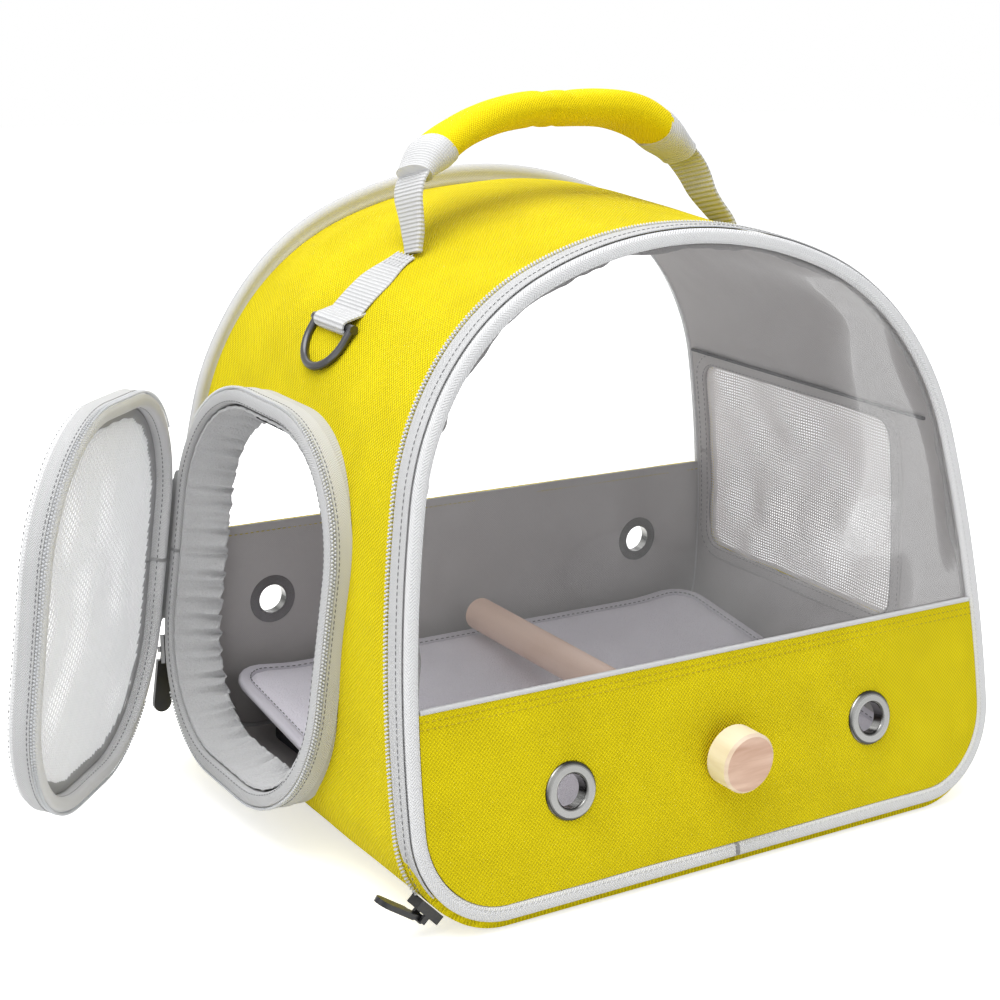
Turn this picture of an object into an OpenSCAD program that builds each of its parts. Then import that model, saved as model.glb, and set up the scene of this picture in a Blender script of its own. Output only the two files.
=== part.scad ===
// Bird travel carrier: a soft arched cabin with a fold-down front panel, a round side door
// that unzips, a mesh side window, a wooden perch with its outside knob, and a webbing handle.
// Millimetres, +Z up. Origin at the centre of the base's underside. The front panel faces -Y.

/* [Body] */
// Width of the body across its widest place
body_w = 302; // [280:1:330]
// Depth of the base from front to back
body_d = 214; // [205:1:235]
// Height of the arched top above the base
body_h = 258; // [250:1:280]
// Height at which the two sides are widest
widest_h = 50; // [46:1:60]
// Radius of the crown of the arch
crown_r = 192; // [185:1:200]
// Radius of the two shoulders
shoulder_r = 110; // [100:1:118]
// Radius of the two long side curves
side_r = 560; // [500:10:640]
// Radius of the two bottom corners
corner_r = 40; // [34:1:44]
// Lean of the front panel away from the vertical, in degrees
front_lean = 12; // [8:0.5:14]
// Thickness of the padded outer fabric
wall_t = 2.2; // [1.8:0.1:3]
// Thickness of the base, fabric over a hem
base_t = 4; // [3.4:0.1:5]
// Thickness of the inner lining
lining_t = 0.8; // [0.6:0.1:1.2]
// Gap left between sewn layers
sew_gap = 0.15; // [0.1:0.05:0.3]

/* [Front and back panels] */
// Width of the bound edge of the front panel
binding_w = 6; // [5:0.5:8]
// Thickness of the bound edge of the front panel
binding_t = 4.6; // [4:0.2:6]
// Height of the front band, measured up the panel
front_band_h = 90; // [84:1:100]
// Height of the back band
back_band_h = 105; // [98:1:115]
// Thickness of the two fabric bands
band_t = 1.6; // [1.2:0.1:2]
// Thickness of the clear windows
window_t = 0.6; // [0.5:0.1:0.8]
// How far a window reaches down behind its band
window_lap = 8; // [6:1:12]
// Width of the bound edge of the back panel
back_binding_w = 7; // [6:0.5:9]
// How far the back bound edge stands proud of the body
back_binding_proud = 3; // [2:0.5:4]

/* [Eyelets] */
// Distance of each front eyelet from the middle
eyelet_x = 79; // [70:1:90]
// Height of the front eyelets, up the panel
eyelet_h = 48; // [42:1:54]
// Distance of each back eyelet from the middle
back_eyelet_x = 106; // [95:1:108]
// Height of the back eyelets
back_eyelet_h = 68; // [60:1:76]
// Inside radius of an eyelet
eyelet_r = 6.8; // [6:0.1:7.4]
// Radius of an eyelet's rim
eyelet_rim_r = 12; // [11:0.5:13]

/* [Perch] */
// Height of the perch and its knob
perch_h = 48; // [44:1:54]
// Radius of the wooden perch
perch_r = 8; // [7:0.5:9]
// Gap between the perch's free end and the back lining
perch_gap = 13; // [11:1:30]
// Radius of the knob
knob_r = 13; // [11:0.5:14]
// Thickness of the knob
knob_t = 12; // [10:0.5:14]
// Radius of the screw through knob, band and perch
screw_r = 2.5; // [2:0.25:3]

/* [Side door] */
// Width of the door and its collar
door_w = 146; // [138:1:148]
// Height of the door and its collar
door_h = 168; // [160:1:172]
// Radius of the door's corners
door_r = 58; // [50:1:64]
// How far the collar's rim stands out beyond the widest place of the body, at door_z
door_proud = 7; // [6:0.5:11]
// Place of the door's middle from front to back
door_y = 32; // [30:1:33]
// Height of the door's middle
door_z = 100; // [98:1:104]
// Inward lean of the door, in degrees, following the side
door_tilt = 6; // [5:0.5:7]
// Thickness of the collar and of the door's frame
door_wall = 6; // [5:0.5:8]
// Depth of the door's frame
door_depth = 12; // [10:0.5:14]
// How far the door stands open in the rest pose, in degrees
door_open = 42; // [35:1:60]
// How far the door sags below its opening
door_sag = 5; // [0:0.5:6]
// Running gap between the door and the collar's rim
door_gap = 0.4; // [0.3:0.1:0.8]

/* [Mesh] */
// Spacing of the threads of the two nets
mesh_pitch = 9; // [8.5:0.5:12]
// Thickness of the threads
thread_t = 0.9; // [0.8:0.1:1.4]
// Length of the window in the right side
side_window_w = 118; // [100:1:120]
// Height of the window in the right side
side_window_h = 92; // [80:1:96]
// Place of that window's middle from front to back
side_window_y = 26; // [24:1:28]
// Height of that window's middle
side_window_z = 116; // [112:1:118]

/* [Floor] */
// Thickness of the board sewn into the floor
board_t = 2.4; // [2:0.2:3]
// Thickness of the loose floor pad at its edge
pad_t = 5; // [4:0.5:6]
// How far the padding swells above that edge in the middle
pad_crown = 2.4; // [1:0.2:4]
// How far the back edge of the pad rides up the back wall
pad_rise = 26; // [20:1:28]
// Gap between the floor pad and the widest place of the body, each side
pad_side_gap = 20; // [18:1:30]
// Radius of the pad's corners
pad_r = 28; // [20:1:36]
// Width of the tape round the pad
pad_tape_w = 6; // [4:0.5:8]

/* [Handle] */
// Width of the webbing
webbing_w = 25; // [20:1:28]
// Thickness of the webbing
webbing_t = 1.6; // [1.4:0.1:2.2]
// Distance of each handle end from the middle
handle_x = 84; // [78:1:88]
// Place of the handle from front to back
handle_y = 24; // [20:1:30]
// Height of the grip above the handle's ends
handle_rise = 58; // [54:1:66]
// Thickness of the padded grip
grip_t = 15; // [13:0.5:17]
// Width of the padded grip
grip_w = 30; // [28:1:34]
// Backward lean of the handle at rest, in degrees
handle_lean = 14; // [8:1:18]
// Wire radius of the rings
ring_wire_r = 1.9; // [1.6:0.1:2.2]
// Inside width of the rings
ring_w = 26; // [26:1:30]
// Height of the ring loops above the base
ring_z = 212; // [206:1:216]

/* [Hidden] */
$fn = 64;
fine = 96;                          // sides of the round metal and wooden pieces
front_y = -body_d / 2;
back_y = body_d / 2;
skin = wall_t + sew_gap;            // inset of the lining's outer face
inner = skin + lining_t;            // inset of the cabin's clear inside
board_z = base_t + lining_t + 2 * sew_gap;  // underside of the floor board
panel_gap = 0.35;                   // running gap between body and front panel
panel_lift = base_t + panel_gap;    // height of the front panel's lower edge
layer_1 = panel_gap;                // back face of the band's lining
layer_2 = layer_1 + lining_t + sew_gap;   // back face of the window
layer_3 = layer_2 + window_t + sew_gap;   // back face of the band
zip_w = 7;                          // width of the zip tape on the body
zip_t = 0.7;                        // thickness of the zip tape
coil_w = 2.6;                       // width of the zip teeth
coil_t = 1.7;                       // height of the zip teeth
zip_low = 17;                       // height at which the front zip's teeth end
zip_tape_low = 38;                  // height at which its tape ends, above the round corner
front_coil = zip_w + panel_gap + coil_w / 2;  // distance of its teeth behind the front plane
washer_t = 0.8;                     // thickness of an eyelet's washer
rim_t = 1.6;                        // height of an eyelet's rim
axle_clear = 0.05;                  // radial clearance of every pin and screw in its bore
barrel_t = 0.7;                     // wall of an eyelet's barrel
back_binding_t = 4.6;               // thickness of the back panel's bound edge
window_hem = 7;                     // width of the hem round the side window's net
hem_t = 1.1;                        // thickness of that hem
door_x = body_w / 2 + door_proud;   // distance of the collar's rim from the middle, at door_z
zip_end_y = 60;                     // where the door's zip ends, from the door's middle
tunnel_t = 3.5;                     // thickness of the gathered elastic in the door opening
tunnel_l = 22;                      // depth to which it reaches into the cabin
net_hem = 5;                        // width of the hem round the door's net
net_back = 7;                       // depth of the net behind the door's inner face
hinge_low = -32;                    // lower end of the fabric hinge, from the door's middle
hinge_l = 68;                       // length of the fabric hinge
hinge_fold = 2.6;                   // width left free where the hinge folds
hinge_leaf_w = 9;                   // width and thickness of each of its leaves
hinge_leaf_t = 0.8;
slider_l = 13;                      // length, width and height of a zip slider
slider_w = 7.6;
slider_t = 4.2;
pin_r = 0.8;                        // radius of a slider's pin
pull_end_r = 1.7;                   // radius of a pull's round end at its pin
pull_t = 2.2;                       // thickness, width and length of a pull
pull_w = 8.4;
pull_l = 30;
front_slider_z = 12;                // height of the front zip's slider
front_pull_lift = 12;               // how far its pull stands off the body, in degrees
door_slider_turn = 20;              // place of the door's slider round the lower back corner
grip_turn = 40;                     // how far the handle's grip bends down each side
leg_turn = 80;                      // slope of the handle's legs
sleeve_turn = 29;                   // how far the padded sleeve follows the grip's bend
shoulder_bend_r = 20;               // bend between grip and leg
strap_tail = 14;                    // how far a strap runs past the handle's leg
ring_leg = 5;                       // straight length of a ring's legs
ring_tilt = 8;                      // how far a ring hangs in towards the body, in degrees

// ---- The arched outline: crown, two shoulders, two long sides, two corners, flat base ----
crown_z = body_h - crown_r;
side_x = body_w / 2 - side_r;
shoulder = shoulder_centre();
a_crown = atan2(shoulder[0], shoulder[1] - crown_z);
a_side = atan2(shoulder[0] - side_x, shoulder[1] - widest_h);

// Where the shoulder's centre lies so that it is tangent to crown and side
function shoulder_centre() =
    let (r1 = crown_r - shoulder_r, r3 = side_r - shoulder_r, dx = side_x, dz = widest_h - crown_z,
         gap = norm([dx, dz]), a = (r1 * r1 - r3 * r3 + gap * gap) / (2 * gap),
         h = sqrt(r1 * r1 - a * a))
    [a * dx / gap + h * dz / gap, crown_z + a * dz / gap - h * dx / gap];

function corner_centre(lift) =
    [side_x + sqrt(pow(side_r - corner_r, 2) - pow(lift + corner_r - widest_h, 2)), lift + corner_r];

// Points on an arc, from the angle a0 to a1, both measured from straight up towards +X
function arc(c, r, a0, a1, n) =
    [for (i = [0:n]) let (a = a0 + (a1 - a0) * i / n) [c[0] + r * sin(a), c[1] + r * cos(a)]];

function flip(points) = [for (i = [len(points) - 1:-1:0]) [-points[i][0], points[i][1]]];

function half_outline(inset, lift) =
    let (corner = corner_centre(lift),
         a_low = atan2(corner[0] - side_x, corner[1] - widest_h))
    concat(arc([0, crown_z], crown_r - inset, 0, a_crown, 6),
           arc(shoulder, shoulder_r - inset, a_crown, a_side, 14),
           arc([side_x, widest_h], side_r - inset, a_side, a_low, 6),
           arc(corner, corner_r - inset, a_low, 180, 10));

module arch(inset = 0, lift = 0) {
    half = half_outline(inset, lift);
    polygon(concat(half, flip([for (i = [1:len(half) - 1]) half[i]])));
}

// Half the width of the outline at height z, on its long side curve or on its shoulder
function side_at(z) =
    z < shoulder[1] + shoulder_r * cos(a_side) ? side_x + sqrt(pow(side_r, 2) - pow(z - widest_h, 2))
    : shoulder[0] + sqrt(pow(shoulder_r, 2) - pow(z - shoulder[1], 2));

// Height of the outline's top at distance x from the middle
function top_at(x) =
    x < crown_r * sin(a_crown) ? crown_z + sqrt(crown_r * crown_r - x * x)
    : shoulder[1] + sqrt(pow(shoulder_r, 2) - pow(x - shoulder[0], 2));

// A rectangle with round corners, as points
function round_box(w, h, r) =
    concat(arc([w / 2 - r, h / 2 - r], r, 0, 90, 12), arc([w / 2 - r, r - h / 2], r, 90, 180, 12),
           arc([r - w / 2, r - h / 2], r, 180, 270, 12), arc([r - w / 2, h / 2 - r], r, 270, 360, 12));

// ---- Placing ----
module along_y(y0, y1) translate([0, y1, 0]) rotate([90, 0, 0]) linear_extrude(y1 - y0) children();

// A slab that lies along the leaning front plane, between two distances outward from it
module front_slab(low, high)
    translate([0, front_y, 0]) rotate([-front_lean, 0, 0])
        translate([-body_w, -high, -body_h / 4]) cube([2 * body_w, high - low, 2 * body_h]);

// A point at height h up the front plane and a distance out from it
function front_point(x, h, out) =
    [x, front_y + h * sin(front_lean) - out * cos(front_lean), h * cos(front_lean) + out * sin(front_lean)];

module at_front(x, h, out = 0)
    translate(front_point(x, h, out)) rotate([90 - front_lean, 0, 0]) children();

// The body of the arch between the front plane and the back, inset all round
module arch_body(inset, front_out, y1, lift = 0)
    intersection() {
        along_y(front_y - 60, y1) arch(inset, lift);
        front_slab(-2 * body_d, front_out);
    }

// A ring of the arch, cut along the front plane
module front_ring(inset_0, inset_1, low, high, lift = 0)
    intersection() {
        along_y(front_y - 60, back_y) difference() { arch(inset_0, lift); arch(inset_1, lift); }
        front_slab(low, high);
    }

// The door's own frame: X runs inward from the collar's rim, Y and Z lie in the rim's plane
module at_door() translate([-door_x, door_y, door_z]) rotate([0, door_tilt, 0]) children();

// The door swung open to its rest pose, about the back edge of the collar
module at_open_door()
    at_door() translate([-door_gap, door_w / 2, -door_sag]) rotate([0, 0, -door_open])
        translate([0, -door_w / 2, 0]) children();

module door_oval(inset, x0, x1)
    translate([x0, 0, 0]) rotate([90, 0, 90]) linear_extrude(x1 - x0)
        polygon(round_box(door_w - 2 * inset, door_h - 2 * inset, door_r - inset));

module side_window_hole(grow)
    translate([0, side_window_y, side_window_z]) rotate([90, 0, 90]) linear_extrude(body_w)
        polygon(round_box(side_window_w + 2 * grow, side_window_h + 2 * grow, 14 + grow));

// ---- Body ----
module gusset_shell()
    color("gold") difference() {
        arch_body(0, 0, back_y);
        along_y(front_y - 90, back_y + 1) arch(wall_t, base_t - wall_t);
        at_door() door_oval(door_wall, -20, 60);
        side_window_hole(0);
    }

module side_lining()
    color("dimgray") difference() {
        arch_body(skin, -1, back_y - sew_gap, base_t - wall_t);
        along_y(front_y - 90, back_y + 1) arch(inner, base_t - wall_t);
        at_door() door_oval(door_wall, -20, 60);
        side_window_hole(0);
    }

module floor_board()
    color("darkslategray") translate([0, 0, board_z]) linear_extrude(board_t)
        translate([0, 1]) polygon(round_box(2 * corner_centre(0)[0] + 2, body_d - 12, 14));

// The loose pad leans on the back wall. Its frame starts at its front edge on the floor.
pad_w = body_w - 2 * pad_side_gap;
pad_l = body_d - 26;
pad_slope = asin(pad_rise / pad_l);
module at_pad()
    translate([0, front_y + 19, board_z + board_t + 0.3])
        rotate([pad_slope, 0, 0]) translate([0, pad_l / 2, 0]) children();

// The pad's outline at each height: drawn in at the seam, then crowned towards the middle
pad_layers = concat(
    [[0, 1.6], [0.3 * pad_t, 0], [0.6 * pad_t, 0]],
    [for (a = [0:18:90])
        [0.85 * pad_t + (0.15 * pad_t + pad_crown) * sin(a), 0.8 + 46 * (1 - cos(a))]]);

function pad_ring(z, drawn_in) =
    let (inset = pad_tape_w + drawn_in)
    [for (p = round_box(pad_w - 2 * inset, pad_l - 2 * inset, max(pad_r - inset, 4))) [p[0], p[1], z]];

module floor_pad() {
    n = len(pad_ring(0, 0));
    top = len(pad_layers) - 1;
    color("thistle") at_pad() polyhedron(
        points = [for (layer = pad_layers) each pad_ring(layer[0], layer[1])],
        faces = concat(
            [[for (i = [n - 1:-1:0]) i], [for (i = [0:n - 1]) top * n + i]],
            [for (k = [0:top - 1], i = [0:n - 1]) each let (a = k * n + i, b = k * n + (i + 1) % n)
                [[a, b, b + n], [a, b + n, a + n]]]));
}

module pad_binding()
    color("lightsteelblue") at_pad() translate([0, 0, 0.1]) linear_extrude(pad_t - 0.6) difference() {
        polygon(round_box(pad_w, pad_l, pad_r));
        polygon(round_box(pad_w - 2 * pad_tape_w + 0.2, pad_l - 2 * pad_tape_w + 0.2,
                          pad_r - pad_tape_w + 0.1));
    }

// ---- Front panel ----
module up_to(h)
    translate([0, front_y, 0]) rotate([-front_lean, 0, 0])
        translate([-body_w, -40, -body_h]) cube([2 * body_w, 80, body_h + h]);

module front_sheet(low, high, inset = binding_w + sew_gap)
    intersection() {
        along_y(front_y - 60, back_y) arch(inset, panel_lift);
        front_slab(low, high);
    }

module eyelet_holes(low, high)
    for (side = [-1, 1]) at_front(side * eyelet_x, eyelet_h, low)
        cylinder(h = high - low, r = eyelet_r + 1, $fn = fine);

module perch_hole()
    translate([0, front_y - 30, perch_h]) rotate([-90, 0, 0])
        cylinder(h = 60, r = screw_r + 0.4, $fn = fine);

module front_binding()
    color("gainsboro") {
        front_ring(0, binding_w, panel_gap, binding_t - 1, panel_lift);
        front_ring(1.1, binding_w - 1.1, binding_t - 1, binding_t, panel_lift);
    }

module front_band()
    color("gold") difference() {
        intersection() { front_sheet(layer_3, layer_3 + band_t); up_to(front_band_h); }
        eyelet_holes(0, 10);
        perch_hole();
    }

module front_band_lining()
    color("dimgray") difference() {
        intersection() { front_sheet(layer_1, layer_1 + lining_t); up_to(front_band_h - 1); }
        eyelet_holes(-5, 10);
        perch_hole();
    }

module front_window()
    color([0.9, 0.95, 1, 0.35]) difference() {
        front_sheet(layer_2, layer_2 + window_t);
        up_to(front_band_h - window_lap);
    }

// The bright tape folded over the band's top edge
module front_band_edge()
    color("khaki") difference() {
        intersection() {
            front_sheet(layer_3, layer_3 + band_t + 0.4, binding_w + 0.4);
            up_to(front_band_h + 1.6);
        }
        up_to(front_band_h + 0.1);
    }

// One eyelet about its own Z: rounded rim outside, barrel through the cloth
module eyelet(barrel_l)
    rotate_extrude($fn = fine) polygon(concat(
        [[eyelet_r, -barrel_l]],
        arc([eyelet_r + 1.2, rim_t - 1.2], 1.2, -90, 0, 5),
        arc([eyelet_rim_r - 2, rim_t - 2], 2, 0, 78, 5),
        [[eyelet_rim_r, 0], [eyelet_r + barrel_t, 0], [eyelet_r + barrel_t, -barrel_l]]));

module washer()
    difference() {
        cylinder(h = washer_t, r = eyelet_rim_r - 0.5, $fn = fine);
        translate([0, 0, -1]) cylinder(h = washer_t + 2, r = eyelet_r + barrel_t + 0.05, $fn = fine);
    }

band_front = layer_3 + band_t;                      // outer face of the front band
barrel_l = band_front - layer_1 + washer_t + 0.1;   // through band, window gap, lining and washer

module front_eyelets()
    color("silver") for (side = [-1, 1])
        at_front(side * eyelet_x, eyelet_h, band_front + 0.05) eyelet(barrel_l);

module front_washers()
    color("gray") for (side = [-1, 1])
        at_front(side * eyelet_x, eyelet_h, layer_1 - washer_t - 0.05) washer();

// ---- Perch, its screw and the knob outside ----
perch_up = perch_h / cos(front_lean);               // the axis' height measured up the panel
perch_end = back_y - perch_gap;
perch_face = front_point(0, perch_up, layer_1)[1] + perch_r * tan(front_lean) + 0.3;
knob_face = front_point(0, perch_up, band_front)[1] - knob_r * tan(front_lean) - 0.3;
screw_in_knob = 8;
screw_in_perch = 24;

module along_perch(y) translate([0, y, perch_h]) rotate([-90, 0, 0]) children();

module perch()
    color("burlywood") difference() {
        along_perch(perch_face) union() {
            cylinder(h = perch_end - perch_face - 2, r = perch_r, $fn = fine);
            translate([0, 0, perch_end - perch_face - 2])
                cylinder(h = 2, r1 = perch_r, r2 = perch_r - 2, $fn = fine);
        }
        along_perch(perch_face - 1) cylinder(h = screw_in_perch + 1, r = screw_r + 0.02, $fn = fine);
    }

module perch_screw()
    color("silver") along_perch(knob_face - screw_in_knob)
        cylinder(h = perch_face - knob_face + screw_in_knob + screw_in_perch - 1, r = screw_r, $fn = fine);

module perch_knob()
    color("tan") difference() {
        along_perch(knob_face - knob_t) union() {
            cylinder(h = 1.2, r1 = knob_r - 1.2, r2 = knob_r, $fn = fine);
            translate([0, 0, 1.2]) cylinder(h = knob_t - 1.2, r = knob_r, $fn = fine);
        }
        along_perch(knob_face - screw_in_knob - 0.5)
            cylinder(h = screw_in_knob + 2, r = screw_r + axle_clear, $fn = fine);
    }

// ---- Zip round the front: teeth on the body, tape on the panel's edge, lapping over the body ----
module above(z) translate([-body_w, -body_d, z]) cube([2 * body_w, 2 * body_d, 1.5 * body_h]);

module front_zip_tape()
    color("lightgray") intersection() {
        front_ring(-zip_t - panel_gap, -panel_gap, -zip_w, panel_gap + 2);
        above(zip_tape_low);
    }

module front_zip_teeth()
    color("white") intersection() {
        front_ring(-coil_t - sew_gap, -sew_gap, -front_coil - coil_w / 2, -front_coil + coil_w / 2);
        above(zip_low);
    }

// ---- Zip sliders. X is across the zip, Y along it, Z outward; the pull turns about pin_z ----
pin_z = slider_t + pull_end_r + 0.3;

module slider()
    union() {
        translate([-slider_w / 2, -slider_l / 2, 0]) cube([slider_w, slider_l, slider_t]);
        for (side = [-1, 1]) translate([side * 3.3 - 0.7, -1.3, slider_t - 0.2])
            cube([1.4, 2.6, pin_z - slider_t + 1.2]);
        translate([-3, 0, pin_z]) rotate([0, 90, 0]) cylinder(h = 6, r = pin_r, $fn = 48);
    }

// The pull, from its pin at the origin along +Y
module pull(l)
    difference() {
        union() {
            translate([-2.3, 0, 0]) rotate([0, 90, 0]) cylinder(h = 4.6, r = pull_end_r, $fn = 48);
            translate([-2.3, 0, -pull_t / 2]) cube([4.6, 6, pull_t]);
            translate([-pull_w / 2, 5, -pull_t / 2]) cube([pull_w, l - 5 - pull_w / 2, pull_t]);
            translate([0, l - pull_w / 2, -pull_t / 2]) cylinder(h = pull_t, r = pull_w / 2, $fn = 64);
        }
        translate([-5, 0, 0]) rotate([0, 90, 0]) cylinder(h = 10, r = pin_r + axle_clear, $fn = 48);
    }

// The front zip's slider stands at the zip's lower left end
front_turn = acos((corner_r - front_slider_z) / corner_r);  // from straight down, round the corner
module at_front_slider() {
    out = corner_r + sew_gap + 0.2;
    corner_x = corner_centre(0)[0];
    z = corner_r - out * cos(front_turn);
    translate([-corner_x - out * sin(front_turn),
               front_y + z * tan(front_lean) + front_coil / cos(front_lean), z])
        rotate([0, 180 + front_turn, 0]) rotate([0, 0, -90]) children();
}

module front_zip_slider() color("black") at_front_slider() slider();

module front_zip_pull()
    color("black") at_front_slider() translate([0, 0, pin_z])
        rotate([front_pull_lift, 0, 0]) pull(pull_l - 8);

// ---- Back panel, sewn to the body ----
module back_sheet(y0, t, inset = back_binding_w + sew_gap - back_binding_proud)
    along_y(back_y + y0, back_y + y0 + t) arch(inset, back_binding_proud);

module back_ring(y0, y1, trim)
    along_y(back_y + y0, back_y + y1) difference() {
        arch(trim - back_binding_proud, back_binding_proud);
        arch(back_binding_w - back_binding_proud - trim, back_binding_proud);
    }

module below(h) translate([-body_w, -body_d, -body_h]) cube([2 * body_w, 2 * body_d, body_h + h]);

module back_binding()
    color("gainsboro") union() {
        back_ring(sew_gap, back_binding_t - 1, 0);
        back_ring(back_binding_t - 1, back_binding_t, 1.1);
    }

module back_eyelet_holes()
    for (side = [-1, 1]) translate([side * back_eyelet_x, back_y - 10, back_eyelet_h]) rotate([-90, 0, 0])
        cylinder(h = 30, r = eyelet_r + 1, $fn = fine);

back_1 = sew_gap;                       // inner face of the back band's lining
back_2 = back_1 + lining_t + sew_gap;   // inner face of the back window
back_3 = back_2 + window_t + sew_gap;   // inner face of the back band

module back_band()
    color("gold") difference() {
        intersection() { back_sheet(back_3, band_t); below(back_band_h); }
        back_eyelet_holes();
    }

module back_band_lining()
    color("dimgray") difference() {
        intersection() { back_sheet(back_1, lining_t); below(back_band_h - 1); }
        back_eyelet_holes();
    }

module back_window()
    color([0.9, 0.95, 1, 0.35]) difference() {
        back_sheet(back_2, window_t);
        below(back_band_h - window_lap);
    }

module back_eyelets()
    color("silver") for (side = [-1, 1])
        translate([side * back_eyelet_x, back_y + back_3 + band_t + 0.05, back_eyelet_h])
            rotate([-90, 0, 0]) eyelet(barrel_l);

module back_washers()
    color("gray") for (side = [-1, 1])
        translate([side * back_eyelet_x, back_y + back_1 - washer_t - 0.05, back_eyelet_h])
            rotate([-90, 0, 0]) washer();

// ---- Nets ----
function inside(y, z, w, h, r) =
    norm([max(abs(y) - w / 2 + r, 0), max(abs(z) - h / 2 + r, 0)]) < r - thread_t;

// A flat net in the Y-Z plane: a sheet with square gaps wherever a whole gap fits
module net(w, h, r) {
    columns = floor((w / 2 - thread_t) / mesh_pitch);
    rows = floor((h / 2 - thread_t) / mesh_pitch);
    gap = mesh_pitch - thread_t;
    rotate([90, 0, 90]) linear_extrude(thread_t) difference() {
        polygon(round_box(w, h, r));
        for (i = [-columns:columns - 1], j = [-rows:rows - 1])
            let (y = (i + 0.5) * mesh_pitch, z = (j + 0.5) * mesh_pitch)
                if (inside(abs(y) + gap / 2, abs(z) + gap / 2, w, h, r))
                    translate([y - gap / 2, z - gap / 2]) square(gap);
    }
}

// ---- Side window: net sewn between the gusset and the lining ----
side_window_reach = side_window_h / 2 + window_hem;
side_window_x0 = side_at(side_window_z - side_window_reach);
side_window_x1 = side_at(side_window_z + side_window_reach);
side_window_lean = atan((side_window_x0 - side_window_x1) / (2 * side_window_reach));
module at_side_window()
    translate([(side_window_x0 + side_window_x1) / 2 - inner - hem_t - thread_t - 0.3,
               side_window_y, side_window_z]) rotate([0, -side_window_lean, 0]) children();

module side_window_net()
    color("whitesmoke") at_side_window()
        net(side_window_w + 2 * window_hem - 1, side_window_h + 2 * window_hem - 1, 13 + window_hem);

// The hem round the net, inside the lining
module side_window_hem()
    color("dimgray") difference() {
        intersection() {
            along_y(front_y, back_y - 1) difference() { arch(inner + sew_gap); arch(inner + hem_t); }
            side_window_hole(window_hem);
        }
        side_window_hole(0.4);
    }

// ---- Side door: collar on the body, elastic tunnel, door with its net ----
module door_ring(inset_0, inset_1, x0, x1)
    difference() {
        door_oval(inset_0, x0, x1);
        door_oval(inset_1, x0 - 1, x1 + 1);
    }

module off_body() difference() { children(); along_y(front_y - 60, back_y + 1) arch(-sew_gap); }

// Keeps what lies in front of the hinge side
module zipped_part() intersection() {
    children();
    translate([-door_w, -door_w, -door_h]) cube([2 * door_w, door_w + zip_end_y, 2 * door_h]);
}

module door_collar()
    color("lightgray") off_body() at_door() union() {
        door_ring(0, door_wall, 0.8, 45);
        door_ring(0.8, door_wall - 0.8, 0, 0.8);
    }

module collar_zip_teeth()
    color("white") at_door() zipped_part() door_ring(-coil_t - sew_gap, -sew_gap, 0.1, coil_w);

module collar_zip_tape()
    color("silver") off_body() at_door() zipped_part()
        door_ring(-zip_t - sew_gap, -sew_gap, coil_w + 0.2, coil_w + zip_w);

module door_tunnel()
    color("gray") at_door() door_ring(door_wall + sew_gap, door_wall + tunnel_t, 2, tunnel_l);

module door_frame()
    color("lightgray") at_open_door() union() {
        door_ring(0, door_wall, 1 - door_depth, 0);
        door_ring(1, door_wall - 1, -door_depth, 1 - door_depth);
    }

module door_zip_teeth()
    color("white") at_open_door() zipped_part() door_ring(-coil_t - sew_gap, -sew_gap, -coil_w, 0);

module door_zip_tape()
    color("silver") at_open_door() zipped_part()
        door_ring(-zip_t - sew_gap, -sew_gap, -coil_w - zip_w, -coil_w - 0.2);

net_inset = door_wall + net_hem;
module door_net_hem()
    color("gray") at_open_door()
        door_ring(door_wall + sew_gap, net_inset, -net_back - 1.2, -net_back + 1.2);

module door_net()
    color("whitesmoke") at_open_door() translate([-net_back - thread_t / 2, 0, 0])
        net(door_w - 2 * net_inset - 0.3, door_h - 2 * net_inset - 0.3, door_r - net_inset - 0.15);

// The fabric hinge, one leaf sewn to the collar and one to the door
module hinge_leaf(x0, x1)
    translate([x0, door_w / 2 + sew_gap, hinge_low]) cube([x1 - x0, hinge_leaf_t, hinge_l]);

module collar_hinge_leaf() color("gray") off_body() at_door() hinge_leaf(hinge_fold, hinge_leaf_w);

module door_hinge_leaf() color("gray") at_open_door() hinge_leaf(-hinge_leaf_w, -0.2);

// The door zip's slider, parked on the collar at the lower end of the hinge
module at_door_slider() {
    out = door_r + 0.4;
    at_door() translate([slider_w / 2 + 0.3, door_w / 2 - door_r + out * cos(door_slider_turn),
                         door_r - door_h / 2 - out * sin(door_slider_turn)])
        rotate([-90 - door_slider_turn, 0, 0]) children();
}

module door_zip_slider() color("black") at_door_slider() slider();

module door_zip_pull()
    color("black") at_door_slider() translate([0, 0, pin_z]) rotate([door_slider_turn, 0, 0]) pull(pull_l);

// ---- Handle: webbing arch, padded sleeve, and its stand on the crown ----
strap_top = sew_gap + webbing_t;
handle_axis_z = top_at(handle_x - 1.2) + strap_top + 0.45 + webbing_w / 2;

module at_handle()
    translate([0, handle_y, handle_axis_z]) rotate([-handle_lean, 0, 0])
        translate([0, 0, -webbing_w / 2]) children();

// The webbing runs round the grip's bend, then round its shoulder and down the leg
bend_x = handle_x - shoulder_bend_r * (sin(leg_turn) - sin(grip_turn));
bend_z = handle_rise - shoulder_bend_r * (cos(grip_turn) - cos(leg_turn));
bend_det = sin(grip_turn) * sin(leg_turn) - cos(leg_turn) * (1 - cos(grip_turn));
grip_bend_r = (bend_x * sin(leg_turn) - bend_z * cos(leg_turn)) / bend_det;
bend_c = [0, handle_rise - grip_bend_r];
shoulder_bend_c = bend_c + (grip_bend_r - shoulder_bend_r) * [sin(grip_turn), cos(grip_turn)];

function handle_half(d) = concat(
    arc(bend_c, grip_bend_r + d, 0, grip_turn, 10),
    arc(shoulder_bend_c, shoulder_bend_r + d, grip_turn, leg_turn, 8),
    [[handle_x + d * sin(leg_turn), d * cos(leg_turn)]]);

function handle_line(d) = concat(flip(handle_half(d)), handle_half(d));

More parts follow.
